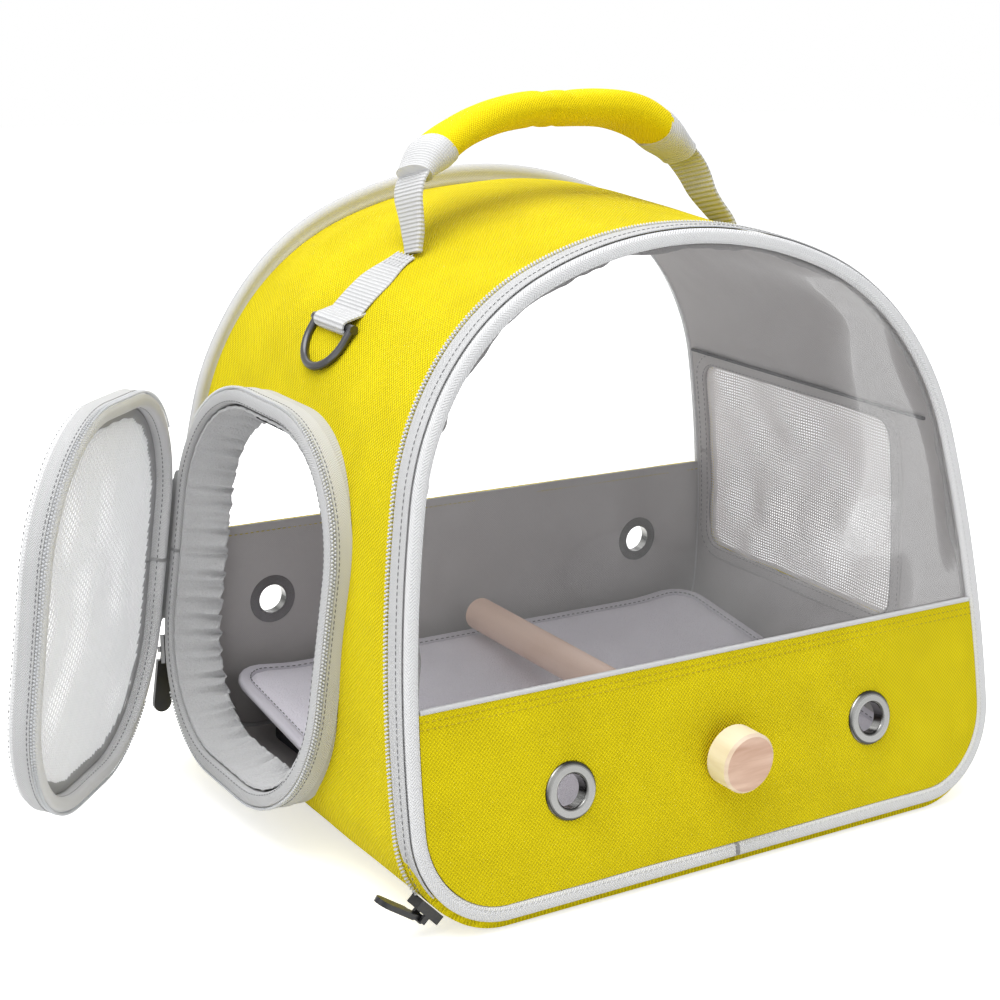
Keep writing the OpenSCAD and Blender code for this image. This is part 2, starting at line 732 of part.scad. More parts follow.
function reversed(points) = [for (i = [len(points) - 1:-1:0]) points[i]];

module handle_webbing()
    color("gainsboro") at_handle() intersection() {
        along_y(-webbing_w / 2, webbing_w / 2)
            polygon(concat(handle_line(webbing_t / 2), reversed(handle_line(-webbing_t / 2))));
        union() {
            translate([-body_w / 2, -webbing_w, webbing_w / 2])
                cube([body_w, 2 * webbing_w, 2 * handle_rise]);
            translate([-body_w / 2, 0, webbing_w / 2]) rotate([0, 90, 0])
                cylinder(h = body_w, r = webbing_w / 2);
        }
    }

// Section of the sleeve, with the slot that the webbing runs through
module sleeve_section(w, t, r)
    difference() {
        polygon(round_box(t, w, r));
        square([webbing_t + 0.4, webbing_w + 0.4], center = true);
    }

// A stretch of the sleeve round the grip's bend, from the angle a0 to a1 off the top
module sleeve_bend(a0, a1, w, t, r)
    translate([bend_c[0], 0, bend_c[1]]) rotate([90, 0, 0]) rotate([0, 0, 90 - a1])
        rotate_extrude(angle = a1 - a0, $fn = fine) translate([grip_bend_r, 0]) sleeve_section(w, t, r);

module handle_grip()
    color("gold") at_handle()
        sleeve_bend(-sleeve_turn, sleeve_turn, grip_w, grip_t, grip_t / 2 - 0.5);

module grip_ends()
    color("gainsboro") at_handle() for (m = [0, 1]) mirror([m, 0, 0])
        sleeve_bend(sleeve_turn + 0.2, grip_turn - 0.5, grip_w, grip_t - 3, grip_t / 2 - 2.2);

// Straps sewn to the body, each with a loop at its end that carries a ring
ring_turn = acos((ring_z - shoulder[1]) / shoulder_r);
loop_r = ring_wire_r + axle_clear + webbing_t;
loop_out = shoulder_r + sew_gap + loop_r;
loop_c = shoulder + loop_out * [sin(ring_turn), cos(ring_turn)];

module strap_band(out, x0, x1)
    intersection() {
        difference() { arch(-out - webbing_t); arch(-out); }
        translate([x0, widest_h]) square([x1 - x0, body_h]);
    }

module across_strap(w) translate([0, handle_y, 0]) along_y(-w / 2, w / 2) children();

module shell_straps()
    color("gainsboro") for (m = [0, 1]) mirror([m, 0, 0]) across_strap(webbing_w) difference() {
        union() {
            strap_band(sew_gap, handle_x - strap_tail, loop_c[0] - 1);
            translate(loop_c) circle(loop_r);
        }
        translate(loop_c) circle(ring_wire_r + axle_clear);
    }

// The folded end of each strap, stitched down beside the handle's leg
module strap_patches()
    color("whitesmoke") for (m = [0, 1]) mirror([m, 0, 0]) across_strap(webbing_w - 1)
        strap_band(strap_top + sew_gap, handle_x + 4, loop_c[0] - loop_r - 1.5);

// A ring: bar through the strap's loop, two legs and a half round of slightly thinner wire
module ring(side) {
    wire_r = ring_wire_r - 0.1;
    leg_y = ring_w / 2 + wire_r;
    mirror([side < 0 ? 1 : 0, 0, 0]) translate([loop_c[0], handle_y, loop_c[1]])
        rotate([0, ring_turn + ring_tilt, 0]) union() {
            along_y(-leg_y - wire_r - 0.4, leg_y + wire_r + 0.4) circle(ring_wire_r);
            for (end = [-1, 1]) translate([0, end * leg_y, 0]) rotate([0, 90, 0])
                cylinder(h = ring_leg, r = wire_r);
            translate([ring_leg, 0, 0]) rotate([0, 0, -90])
                rotate_extrude(angle = 180) translate([leg_y, 0]) circle(wire_r);
        }
}

module ring_left() color("dimgray") ring(-1);
module ring_right() color("dimgray") ring(1);

gusset_shell();
side_lining();
floor_board();
floor_pad();
pad_binding();
front_binding();
front_band();
front_band_lining();
front_window();
front_band_edge();
front_eyelets();
front_washers();
perch();
perch_screw();
perch_knob();
front_zip_tape();
front_zip_teeth();
front_zip_slider();
front_zip_pull();
back_binding();
back_band();
back_band_lining();
back_window();
back_eyelets();
back_washers();
side_window_net();
side_window_hem();
door_collar();
collar_zip_teeth();
collar_zip_tape();
door_tunnel();
door_frame();
door_zip_teeth();
door_zip_tape();
door_net_hem();
door_net();
collar_hinge_leaf();
door_hinge_leaf();
door_zip_slider();
door_zip_pull();
handle_webbing();
handle_grip();
grip_ends();
shell_straps();
strap_patches();
ring_left();
ring_right();
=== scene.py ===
"""Looks of the soft travel carrier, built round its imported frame.

Sizes are in millimetres, as in the part's source, and become metres when a mesh is made.
"""
import math

import bmesh
import bpy
import numpy as np
from mathutils import Matrix, Vector, noise


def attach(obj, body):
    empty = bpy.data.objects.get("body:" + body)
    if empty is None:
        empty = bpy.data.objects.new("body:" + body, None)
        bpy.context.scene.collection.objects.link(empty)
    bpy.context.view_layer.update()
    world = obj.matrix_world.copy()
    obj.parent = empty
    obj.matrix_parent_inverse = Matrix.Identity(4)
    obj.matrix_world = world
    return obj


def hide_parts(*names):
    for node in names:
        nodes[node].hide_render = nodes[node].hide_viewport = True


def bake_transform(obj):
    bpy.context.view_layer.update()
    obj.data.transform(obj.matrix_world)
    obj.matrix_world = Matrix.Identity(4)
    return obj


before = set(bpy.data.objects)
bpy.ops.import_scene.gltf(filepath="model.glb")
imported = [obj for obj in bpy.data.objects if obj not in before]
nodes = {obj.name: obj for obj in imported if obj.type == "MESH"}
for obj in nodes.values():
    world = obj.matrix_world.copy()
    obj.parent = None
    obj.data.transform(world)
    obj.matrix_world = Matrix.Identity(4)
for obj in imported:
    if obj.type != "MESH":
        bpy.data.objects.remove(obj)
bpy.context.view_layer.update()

MM = 0.001
PI = math.pi

# ---- Driving sizes, as in the part's source ----
BODY_W, BODY_D, BODY_H = 302, 214, 258
WIDEST_Z = 50
CROWN_R, SHOULDER_R, SIDE_R, CORNER_R = 192, 110, 560, 40
FRONT_LEAN = math.radians(12)
WALL_T, BASE_T, LINING_T, SEW_GAP = 2.2, 4, 0.8, 0.15
PANEL_GAP = 0.35
BINDING_W, BINDING_T = 6, 4.6
FRONT_BAND_H, BACK_BAND_H, BAND_T, WINDOW_T, WINDOW_LAP = 90, 105, 1.6, 0.6, 8
BACK_BINDING_W, BACK_PROUD = 7, 3
ZIP_W, ZIP_T, COIL_W, COIL_T, ZIP_LOW, TOOTH_PITCH = 7, 0.7, 2.6, 1.7, 17, 1.5
EYELET_X, EYELET_H, HOLE_R = 79, 48, 7.8
BACK_EYELET_X, BACK_EYELET_Z = 106, 68
PERCH_Z, SCREW_HOLE_R = 48, 3
DOOR_W, DOOR_H, DOOR_R, DOOR_WALL, DOOR_DEPTH = 146, 168, 58, 6, 12
DOOR_AT = np.array([-BODY_W / 2 - 7, 32, 100])
DOOR_TILT, DOOR_OPEN, DOOR_SAG, DOOR_GAP = math.radians(6), math.radians(42), 5, 0.4
ZIP_END_Y = 60
BOARD_T, PAD_LIFT, PAD_FRONT = 2.4, 0.3, 19
PAD_W, PAD_L, PAD_T, PAD_R, PAD_TAPE, PAD_RISE, PAD_CROWN = 262, 188, 5, 28, 6, 26, 2.4
WEBBING_W, WEBBING_T, HANDLE_X, HANDLE_Y, HANDLE_RISE = 25, 1.6, 84, 24, 58
GRIP_T, GRIP_W = 15, 30
SLEEVE_TURN, GRIP_TURN, LEG_TURN = math.radians(31.5), math.radians(40), math.radians(80)
HANDLE_LEAN, SHOULDER_BEND_R = math.radians(14), 20
RING_Z, RING_WIRE_R = 212, 1.9

FRONT_Y, BACK_Y = -BODY_D / 2, BODY_D / 2
TALL = 1 / math.cos(FRONT_LEAN)
SKIN = WALL_T + SEW_GAP
INNER = SKIN + LINING_T
LAYER_1 = PANEL_GAP
LAYER_2 = LAYER_1 + LINING_T + SEW_GAP
LAYER_3 = LAYER_2 + WINDOW_T + SEW_GAP
BAND_FACE = LAYER_3 + BAND_T
BACK_1 = SEW_GAP
BACK_2 = BACK_1 + LINING_T + SEW_GAP
BACK_3 = BACK_2 + WINDOW_T + SEW_GAP
BACK_FACE = BACK_3 + BAND_T
CROWN_Z = BODY_H - CROWN_R
SIDE_X = BODY_W / 2 - SIDE_R
DOOR_IN_W, DOOR_IN_H, DOOR_IN_R = DOOR_W - 2 * DOOR_WALL, DOOR_H - 2 * DOOR_WALL, DOOR_R - DOOR_WALL

# ---- Sizes that follow the photograph, and not the plain solids ----
SIDE_NET_W, SIDE_NET_H, SIDE_NET_R, SIDE_HEM = 136, 98, 9, 7
SIDE_NET_AT = np.array([29, 112])
PAD_MORE_W, PAD_MORE_L, PAD_LESS_R, PAD_CURL = 6, 3, 10, 3.5
SEAM_Z = 167.5
CROWN_BULGE = 4.6
FLOP_X, FLOP_Y, FLOP_Z, RIGHT_LEG_IN = 9.5, 4, 9.5, 9

# ---- Camera: the photograph's place and angle ----
CAMERA_AT = (-486.5, -663.4, 363.7)
CAMERA_YAW, CAMERA_PITCH, CAMERA_ROLL = math.radians(33.3), math.radians(15.97), math.radians(2.0)
CAMERA_LENS, SENSOR_W = 69.33, 36


def make_camera():
    data = bpy.data.cameras.new("camera")
    data.lens = CAMERA_LENS
    data.sensor_width = SENSOR_W
    data.clip_start, data.clip_end = 0.01, 20
    camera = place_object("camera", data)
    level = math.cos(CAMERA_PITCH)
    forward = Vector((math.sin(CAMERA_YAW) * level, math.cos(CAMERA_YAW) * level,
                      -math.sin(CAMERA_PITCH)))
    flat = Vector((math.cos(CAMERA_YAW), -math.sin(CAMERA_YAW), 0))
    above_it = flat.cross(forward)
    right = flat * math.cos(CAMERA_ROLL) + above_it * math.sin(CAMERA_ROLL)
    up = above_it * math.cos(CAMERA_ROLL) - flat * math.sin(CAMERA_ROLL)
    turn = Matrix((right, up, -forward)).transposed().to_4x4()
    camera.matrix_world = Matrix.Translation(Vector(CAMERA_AT) * MM) @ turn
    bpy.context.scene.camera = camera


# ---- Lines in a plane ----
def unit(v):
    return v / np.maximum(np.linalg.norm(v, axis=-1, keepdims=True), 1e-9)


def lengths(p):
    """The distance along a row of points, at each of them."""
    return np.append(0, np.cumsum(np.linalg.norm(np.diff(p, axis=0), axis=1)))


class Track:
    """A line in a plane: evenly spaced points, outward normals, and the distance along it."""

    def __init__(self, points, normals, count, closed=True):
        points, normals = np.array(points, float), np.array(normals, float)
        s = lengths(points)
        keep = np.append(True, np.diff(s) > 1e-6)
        self.source = (points, normals, closed)
        self.length, self.closed = s[-1], closed
        self.s = np.linspace(0, s[-1], count, endpoint=not closed)
        blend = lambda v: np.stack([np.interp(self.s, s[keep], v[keep, k]) for k in (0, 1)], 1)
        self.p, self.n = blend(points), unit(blend(normals))

    def at(self, out):
        return self.p + np.reshape(out, (-1, 1)) * self.n

    def spaced(self, pitch):
        """The same line with another spacing of its points."""
        points, normals, closed = self.source
        return Track(points, normals, max(4, round(self.length / pitch)), closed)

    def only(self, keep):
        """The stretch whose points pass the test, as an open line."""
        mask = keep(self.p)
        return Track(self.p[mask], self.n[mask], int(mask.sum()), closed=False)


def circle(count):
    """Angles round a circle, without the last one that meets the first."""
    return np.linspace(0, 2 * PI, count + 1)[:-1]


def arc(centre, r, a0, a1, step=0.012):
    """Points and normals on an arc, its angles measured from straight up towards +X."""
    a = np.linspace(a0, a1, max(3, int(abs(a1 - a0) / step)))
    n = np.stack([np.sin(a), np.cos(a)], 1)
    return np.array(centre) + r * n, n


def mirrored(arcs, end, end_normal, count, closed=True):
    """Arcs down the right side to an end point, after the same arcs on the left."""
    p = np.concatenate([points for points, _ in arcs] + [[end]])
    n = np.concatenate([normals for _, normals in arcs] + [[end_normal]])
    both = lambda v: np.concatenate([v[::-1] * np.array([-1, 1]), v[1:]])
    return Track(both(p), both(n), count, closed)


def shoulder_centre():
    """Centre of the arc that touches both the crown's circle and the side's."""
    r1, r3 = CROWN_R - SHOULDER_R, SIDE_R - SHOULDER_R
    dx, dz = SIDE_X, WIDEST_Z - CROWN_Z
    gap = math.hypot(dx, dz)
    a = (r1 * r1 - r3 * r3 + gap * gap) / (2 * gap)
    h = math.sqrt(r1 * r1 - a * a)
    return np.array([a * dx / gap + h * dz / gap, CROWN_Z + a * dz / gap - h * dx / gap])


SHOULDER = shoulder_centre()
CROWN_TURN = math.atan2(SHOULDER[0], SHOULDER[1] - CROWN_Z)
SIDE_TURN = math.atan2(SHOULDER[0] - SIDE_X, SHOULDER[1] - WIDEST_Z)


def body_track(lift=0.0, count=300):
    """The arched outline, from the middle of the base up the left side and over the crown."""
    corner_z = lift + CORNER_R
    corner_x = SIDE_X + math.sqrt((SIDE_R - CORNER_R) ** 2 - (corner_z - WIDEST_Z) ** 2)
    low_turn = math.atan2(corner_x - SIDE_X, corner_z - WIDEST_Z)
    arcs = [arc((0, CROWN_Z), CROWN_R, 0, CROWN_TURN), arc(SHOULDER, SHOULDER_R, CROWN_TURN, SIDE_TURN),
            arc((SIDE_X, WIDEST_Z), SIDE_R, SIDE_TURN, low_turn, 0.004),
            arc((corner_x, corner_z), CORNER_R, low_turn, PI)]
    return mirrored(arcs, (0, lift), (0, -1), count)


def box_track(w, h, r, count, centre=(0, 0)):
    """A rectangle with round corners, from the middle of its right side downwards."""
    p, n = [(w / 2, 0)], [(1, 0)]
    for quarter, (sx, sy) in enumerate([(1, -1), (-1, -1), (-1, 1), (1, 1)]):
        a = -np.linspace(quarter, quarter + 1, 24) * PI / 2
        normals = np.stack([np.cos(a), np.sin(a)], 1)
        p += list(np.array([sx * (w / 2 - r), sy * (h / 2 - r)]) + r * normals)
        n += list(normals)
    p, n = np.array(p + [(w / 2, 0)]), np.array(n + [(1, 0)])
    return Track(p + np.array(centre), n, count)


def door_track(inset=0.0, count=300):
    return box_track(DOOR_W - 2 * inset, DOOR_H - 2 * inset, DOOR_R - inset, count)


def hole(x, z, r, tall=1.0):
    """A round hole, drawn lower on a slanting plane so that it cuts round."""
    a = np.linspace(0, 2 * PI, 49)
    n = np.stack([np.cos(a), np.sin(a)], 1)
    return Track(np.array([x, z]) + n * [r, r / tall], n, 48)


def above(z):
    return lambda p: p[:, 1] > z


def zipped(p):
    """Where the door's zip runs. It stops short of the hinge."""
    return p[:, 0] < ZIP_END_Y


# ---- From a plane to the carrier: each takes points (..., 2) and a depth (...) ----
def stack(*parts):
    return np.stack(np.broadcast_arrays(*parts), -1)


def front(q, out):
    """On the leaning front: x, z and the distance out from it."""
    y = FRONT_Y + (q[..., 1] * math.sin(FRONT_LEAN) - out) / math.cos(FRONT_LEAN)
    return stack(q[..., 0], y, q[..., 1])


def front_z(h, out):
    """Height of a point that lies h up the front and out from it."""
    return h * math.cos(FRONT_LEAN) + out * math.sin(FRONT_LEAN)


def back(q, out):
    return stack(q[..., 0], BACK_Y + out, q[..., 1])


def between(q, share):
    """From the front plane, share 0, to the back, share 1."""
    y = FRONT_Y + q[..., 1] * math.tan(FRONT_LEAN)
    return stack(q[..., 0], y + share * (BACK_Y - y), q[..., 1])


def across(q, y):
    return stack(q[..., 0], y, q[..., 1])


def on_strap(q, y):
    return across(q, HANDLE_Y + y)


def to_body(local):
    """From the door frame's own axes, X inward, to the carrier's."""
    c, s = math.cos(DOOR_TILT), math.sin(DOOR_TILT)
    x, y, z = np.moveaxis(local, -1, 0)
    return np.stack([x * c + z * s, y, z * c - x * s], -1) + DOOR_AT


def collar(q, depth):
    return to_body(stack(depth, q[..., 0], q[..., 1]))


def door(q, depth):
    """The same frame on the door, swung open and sagging."""
    c, s = math.cos(DOOR_OPEN), math.sin(DOOR_OPEN)
    x, y = depth, q[..., 0] - DOOR_W / 2
    return to_body(stack(x * c + y * s - DOOR_GAP, y * c - x * s + DOOR_W / 2, q[..., 1] - DOOR_SAG))


def side_at(z):
    """Half the body's width at a height."""
    return np.where(z < SHOULDER[1] + SHOULDER_R * math.cos(SIDE_TURN),
                    SIDE_X + np.sqrt(np.maximum(SIDE_R ** 2 - (z - WIDEST_Z) ** 2, 0)),
                    SHOULDER[0] + np.sqrt(np.maximum(SHOULDER_R ** 2 - (z - SHOULDER[1]) ** 2, 0)))


def right_wall(q, depth):
    """On the right side: y, z and the depth inward from the outer face."""
    return stack(side_at(q[..., 1]) - depth, q[..., 0], q[..., 1])


def pad_place(q, up):
    """On the floor pad, which leans up against the back."""
    slope = math.asin(PAD_RISE / PAD_L)
    y, z = q[..., 1] + PAD_L / 2, up
    floor = BASE_T + LINING_T + 2 * SEW_GAP + BOARD_T + PAD_LIFT
    return stack(q[..., 0], FRONT_Y + PAD_FRONT + y * math.cos(slope) - z * math.sin(slope),
                 floor + y * math.sin(slope) + z * math.cos(slope))


def curled(q, up):
    """The pad with its side edges turned up."""
    return pad_place(q, up + PAD_CURL * smooth(95, 135, np.abs(q[..., 0])))


# ---- Meshes ----
def ripple(points, size, amount, seed=0.0):
    """Soft unevenness of a given size and height, the same at each run."""
    flat = np.reshape(points, (-1, 3)) / size + seed
    return amount * np.reshape([noise.noise(p) for p in flat.tolist()], np.shape(points)[:-1])


def ripple_along(s, size, amount, seed):
    return ripple(stack(s / size, 0 * s, 0 * s), 1.0, amount, seed)


def ripple_flat(q, size, amount, seed):
    return ripple(np.concatenate([q, np.zeros(q.shape[:-1] + (1,))], -1), size, amount, seed)


def smooth(a, b, x):
    t = np.clip((x - a) / (b - a), 0, 1)
    return t * t * (3 - 2 * t)


def tube_faces(n, k, loop):
    i, j = np.arange(n if loop else n - 1)[:, None], np.arange(k)[None, :]
    i1, j1 = (i + 1) % n, (j + 1) % k
    faces = np.stack([i * k + j, i1 * k + j, i1 * k + j1, i * k + j1], -1).reshape(-1, 4).tolist()
    return faces if loop else faces + [list(range(k)), list(range((n - 1) * k, n * k))]


def slab_faces(n, m, loop):
    """Two n by m layers and the rim between them. loop closes the rows on themselves."""
    i, j = np.arange(n if loop else n - 1)[:, None], np.arange(m - 1)[None, :]
    i1 = (i + 1) % n
    layer = np.stack([i * m + j, i1 * m + j, i1 * m + j + 1, i * m + j + 1], -1).reshape(-1, 4)
    faces = np.concatenate([layer, layer + n * m]).tolist()
    rows, cols = np.arange(n), np.arange(m)
    if loop:
        rims = [np.append(rows * m, 0), np.append(rows * m + m - 1, m - 1)]
    else:
        around = [cols, rows[1:] * m + m - 1, (n - 1) * m + cols[-2::-1], rows[-2::-1] * m]
        rims = [np.concatenate(around)]
    for rim in rims:
        faces += [[a, b, b + n * m, a + n * m] for a, b in zip(rim[:-1].tolist(), rim[1:].tolist())]
    return faces


def place_object(name, data):
    obj = bpy.data.objects.new(name, data)
    bpy.context.scene.collection.objects.link(obj)
    return obj


def mesh_object(name, verts, faces):
    mesh = bpy.data.meshes.new(name)
    mesh.from_pydata((np.reshape(verts, (-1, 3)) * MM).tolist(), [], faces)
    work = bmesh.new()
    work.from_mesh(mesh)
    bmesh.ops.recalc_face_normals(work, faces=work.faces)
    work.to_mesh(mesh)
    work.free()
    return place_object(name, mesh)


def cut(obj, cutters):
    """Takes the cutters out of the mesh, and removes them."""
    for cutter in cutters:
        step = obj.modifiers.new("cut", "BOOLEAN")
        step.operation, step.solver, step.object = "DIFFERENCE", "MANIFOLD", cutter
    bpy.context.view_layer.update()
    shaped = bpy.data.meshes.new_from_object(obj.evaluated_get(bpy.context.evaluated_depsgraph_get()))
    obj.modifiers.clear()
    obj.data = shaped
    for cutter in cutters:
        bpy.data.objects.remove(cutter)


def finish_piece(obj, weave=None, crease=None):
    """Gives a piece its threads' own coordinates, and from the list of pieces its material, its body and
    the nodes that it stands for.
    """
    look, body, slot, *stands_for = PIECES[obj.name]
    mesh = obj.data
    mesh.materials.clear()
    mesh.materials.append(look)
    mesh.polygons.foreach_set("use_smooth", [True] * len(mesh.polygons))
    mesh.set_sharp_from_angle(angle=math.radians(crease or CREASE))
    if weave is not None:
        co = np.zeros(len(mesh.vertices) * 3)
        mesh.vertices.foreach_get("co", co)
        uv = weave(co.reshape(-1, 3) / MM) if callable(weave) else np.reshape(weave, (-1, 2))
        data = np.concatenate([uv, np.zeros((len(uv), 1))], 1)
        mesh.attributes.new("weave", "FLOAT_VECTOR", "POINT").data.foreach_set("vector", data.ravel())
    if body:
        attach(obj, body)
    if stands_for:
        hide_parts(*stands_for)
    return obj


CREASE, NO_CREASE = 40, 180  # degrees of a fold that shows as a sharp edge


def sweep(name, track, profile, place, crease=CREASE):
    """A closed profile of (out, depth) points run along a track. It may change along the way."""
    n = len(track.p)
    profile = np.broadcast_to(np.asarray(profile, float), (n,) + np.shape(profile)[-2:])
    q = track.p[:, None] + profile[..., :1] * track.n[:, None]
    weave = stack(track.s[:, None], lengths(profile[0])[None])
    obj = mesh_object(name, place(q, profile[..., 1]), tube_faces(n, profile.shape[1], track.closed))
    return finish_piece(obj, weave, crease)


def slab(name, q, low, high, place, cutters=(), loop=False, weave=None):
    """A sheet with thickness over an n by m grid of plane points, between two depths."""
    verts = np.stack([place(q, low), place(q, high)])
    obj = mesh_object(name, verts, slab_faces(q.shape[0], q.shape[1], loop))
    if cutters:
        cut(obj, cutters)
    return finish_piece(obj, weave)


def prism(track, place, low, high):
    n = len(track.p)
    verts = np.concatenate([place(track.p, low), place(track.p, high)])
    sides = [[i, (i + 1) % n, (i + 1) % n + n, i + n] for i in range(n)]
    return mesh_object("cutter", verts, sides + [list(range(n)), list(range(n, 2 * n))])


def rounded(out_0, out_1, depth_0, depth_1, r, steps=4):
    """A rectangle with round corners as a profile."""
    points = []
    corners = [(out_1 - r, depth_1 - r, 0), (out_0 + r, depth_1 - r, 1),
               (out_0 + r, depth_0 + r, 2), (out_1 - r, depth_0 + r, 3)]
    for a, b, quarter in corners:
        for t in np.linspace(quarter, quarter + 1, steps + 1) * PI / 2:
            points.append((a + r * math.cos(t), b + r * math.sin(t)))
    return np.array(points)


def bead_shape(rings=3, sides=6):
    verts, faces = [(0, 0, 1)], []
    for k in range(rings):
        a = PI * (k + 1) / (rings + 1)
        verts += [(math.sin(a) * math.cos(t), math.sin(a) * math.sin(t), math.cos(a))
                  for t in np.arange(sides) * 2 * PI / sides]
    verts.append((0, 0, -1))
    end = len(verts) - 1
    for i in range(sides):
        j = (i + 1) % sides
        faces.append([0, 1 + i, 1 + j, 1 + j])
        for k in range(rings - 1):
            a, b = 1 + k * sides, 1 + (k + 1) * sides
            faces.append([a + i, b + i, b + j, a + j])
        faces.append([end, end - sides + j, end - sides + i, end - sides + i])
    return np.array(verts), np.array(faces)


BEAD_VERTS, BEAD_FACES = bead_shape()


def beads(name, rails, size):
    """Small rounded grains along rails, as one mesh. Size is half the length along, out and deep."""
    centre, along, out, deep = (np.concatenate(x) for x in zip(*rails))
    axes = np.stack([along * size[0], out * size[1], deep * size[2]], 1)
    verts = centre[:, None] + np.einsum("kc,nca->nka", BEAD_VERTS[:, [2, 0, 1]], axes)
    faces = BEAD_FACES[None] + (np.arange(len(centre)) * len(BEAD_VERTS))[:, None, None]
    faces = [f[:3] if f[2] == f[3] else f for f in faces.reshape(-1, 4).tolist()]
    return finish_piece(mesh_object(name, verts, faces))


def rail(track, out, depth, place, pitch, keep=None, shift=0.0):
    """Places for beads along a track: centres, and the directions along, out and deep."""
    fine = track.spaced(pitch)
    centre = place(fine.at(out), depth)
    along = unit(np.gradient(centre, axis=0))
    centre = centre + along * shift * pitch
    outward = unit(place(fine.at(np.add(out, 1)), depth) - place(fine.at(out), depth))
    deep = unit(np.cross(along, outward))
    mask = np.ones(len(centre), bool) if keep is None else keep(fine.p)
    return centre[mask], along[mask], outward[mask], deep[mask]


def rows_grid(track, inset, z_top, rows, columns):
    """Rows across the lower part of the outline, from its base up to z_top."""
    line = track.spaced(1.0)
    q = line.at(-inset)[len(line.p) // 2:][::-1]
    q = q[q[:, 1] <= z_top]
    s = lengths(q)
    first = int(np.argmax(np.diff(q[:, 1]) > 0.01))
    spots = np.linspace(s[first], s[-1], rows)
    x, z = np.interp(spots, s, q[:, 0]), np.interp(spots, s, q[:, 1])
    z[-1] = z_top
    u = np.linspace(-1, 1, columns)
    return stack(x[:, None] * u[None], z[:, None] + 0 * u[None])


def fan_grid(track, inset, z_low, rows, columns):
    """Columns from a level line at z_low up to the arch above it."""
    line = track.spaced(1.0).only(above(z_low))
    top = Track(line.at(-inset), line.n, columns, closed=False).p
    base = np.stack([np.linspace(top[0, 0], top[-1, 0], columns), np.full(columns, z_low)], 1)
    v = np.linspace(0, 1, rows)[:, None, None]
    return base[None] * (1 - v) + top[None] * v


def level_line(outline, inset, z, lift, short, count):
    """A level line across a panel near height z, which ends short of its edges."""
    q = outline.spaced(1.0).at(-inset)
    q = q[len(q) // 2:][::-1]
    q = q[np.append(True, np.diff(q[:, 1]) > 0)]
    half = float(np.interp(z, q[:, 1], q[:, 0])) - short
    x = np.linspace(-half, half, count)
    return Track(np.stack([x, 0 * x + z + lift], 1), [(0, 1)] * count, count, closed=False)


def distance_in(line, q, inset):
    """How far inside the bound edge a point lies."""
    rim = line.spaced(4.0).at(-inset)
    flat = q.reshape(-1, 2)
    return np.sqrt(((flat[:, None] - rim[None]) ** 2).sum(-1)).min(1).reshape(q.shape[:-1])


# ---- Materials ----
class Look:
    """A material built from nodes, round one Principled shader."""

    def __init__(self, name, colour, roughness, **sockets):
        self.material = bpy.data.materials.new(name)
        self.material.use_nodes = True
        self.material.diffuse_color = (*colour, 1)
        self.tree = self.material.node_tree
        self.shader = self.tree.nodes["Principled BSDF"]
        self.shader.inputs["Base Color"].default_value = (*colour, 1)
        self.shader.inputs["Roughness"].default_value = roughness
        for socket, value in sockets.items():
            self.shader.inputs[socket.replace("_", " ").title()].default_value = value

    def put(self, value, socket):
        if isinstance(value, bpy.types.NodeSocket):
            self.tree.links.new(value, socket)
        else:
            socket.default_value = value

    def node(self, kind, **inputs):
        made = self.tree.nodes.new("ShaderNode" + kind)
        for name, value in inputs.items():
            self.put(value, made.inputs[name.replace("_", " ")])
        return made

    def maths(self, what, a, b=0.0):
        made = self.node("Math")
        made.operation = what
        self.put(a, made.inputs[0])
        self.put(b, made.inputs[1])
        return made.outputs[0]

    def plus(self, a, b):
        return self.maths("ADD", a, b)

    def times(self, a, b):
        return self.maths("MULTIPLY", a, b)

    def threads(self):
        """The cloth's own two coordinates, in millimetres."""
        place = self.node("Attribute")
        place.attribute_name = "weave"
        parts = self.node("SeparateXYZ", Vector=place.outputs["Vector"])
        return parts.outputs["X"], parts.outputs["Y"]

    def coords(self, which):
        return self.node("TexCoord").outputs[which]

    def wave(self, x, pitch):
        return self.maths("SINE", self.times(x, 2 * PI / pitch))

    def grain(self, place, scale, detail, distortion=0.0):
        made = self.node("TexNoise", Vector=place, Scale=scale, Detail=detail, Distortion=distortion)
        return made.outputs["Fac"]

    def cloud(self, scale, detail=2.0):
        return self.grain(self.coords("Object"), scale, detail)

    def ramp(self, factor, low, high):
        """A colour between two shades."""
        made = self.node("ValToRGB", Fac=factor)
        for spot, colour in zip(made.color_ramp.elements, (low, high)):
            spot.color = (*colour, 1)
        return made

    def tint(self, factor, low, high):
        self.put(self.ramp(factor, low, high).outputs["Color"], self.shader.inputs["Base Color"])

    def bump(self, height, depth_mm):
        made = self.node("Bump", Height=height, Distance=depth_mm * MM, Strength=1.0)
        self.put(made.outputs["Normal"], self.shader.inputs["Normal"])


def shade(colour, factor):
    return tuple(min(1.0, c * factor) for c in colour)


SPECULAR, SHEEN_ROUGHNESS = 0.12, 0.4
WEAVE_HOLLOW_SHADE, MOTTLE_TONE, MOTTLE_SCALE = 0.35, 0.5, 45.0
FELT_SCALE, FELT_HEIGHT = 1400.0, 3.0
ZIGZAG = 2.2


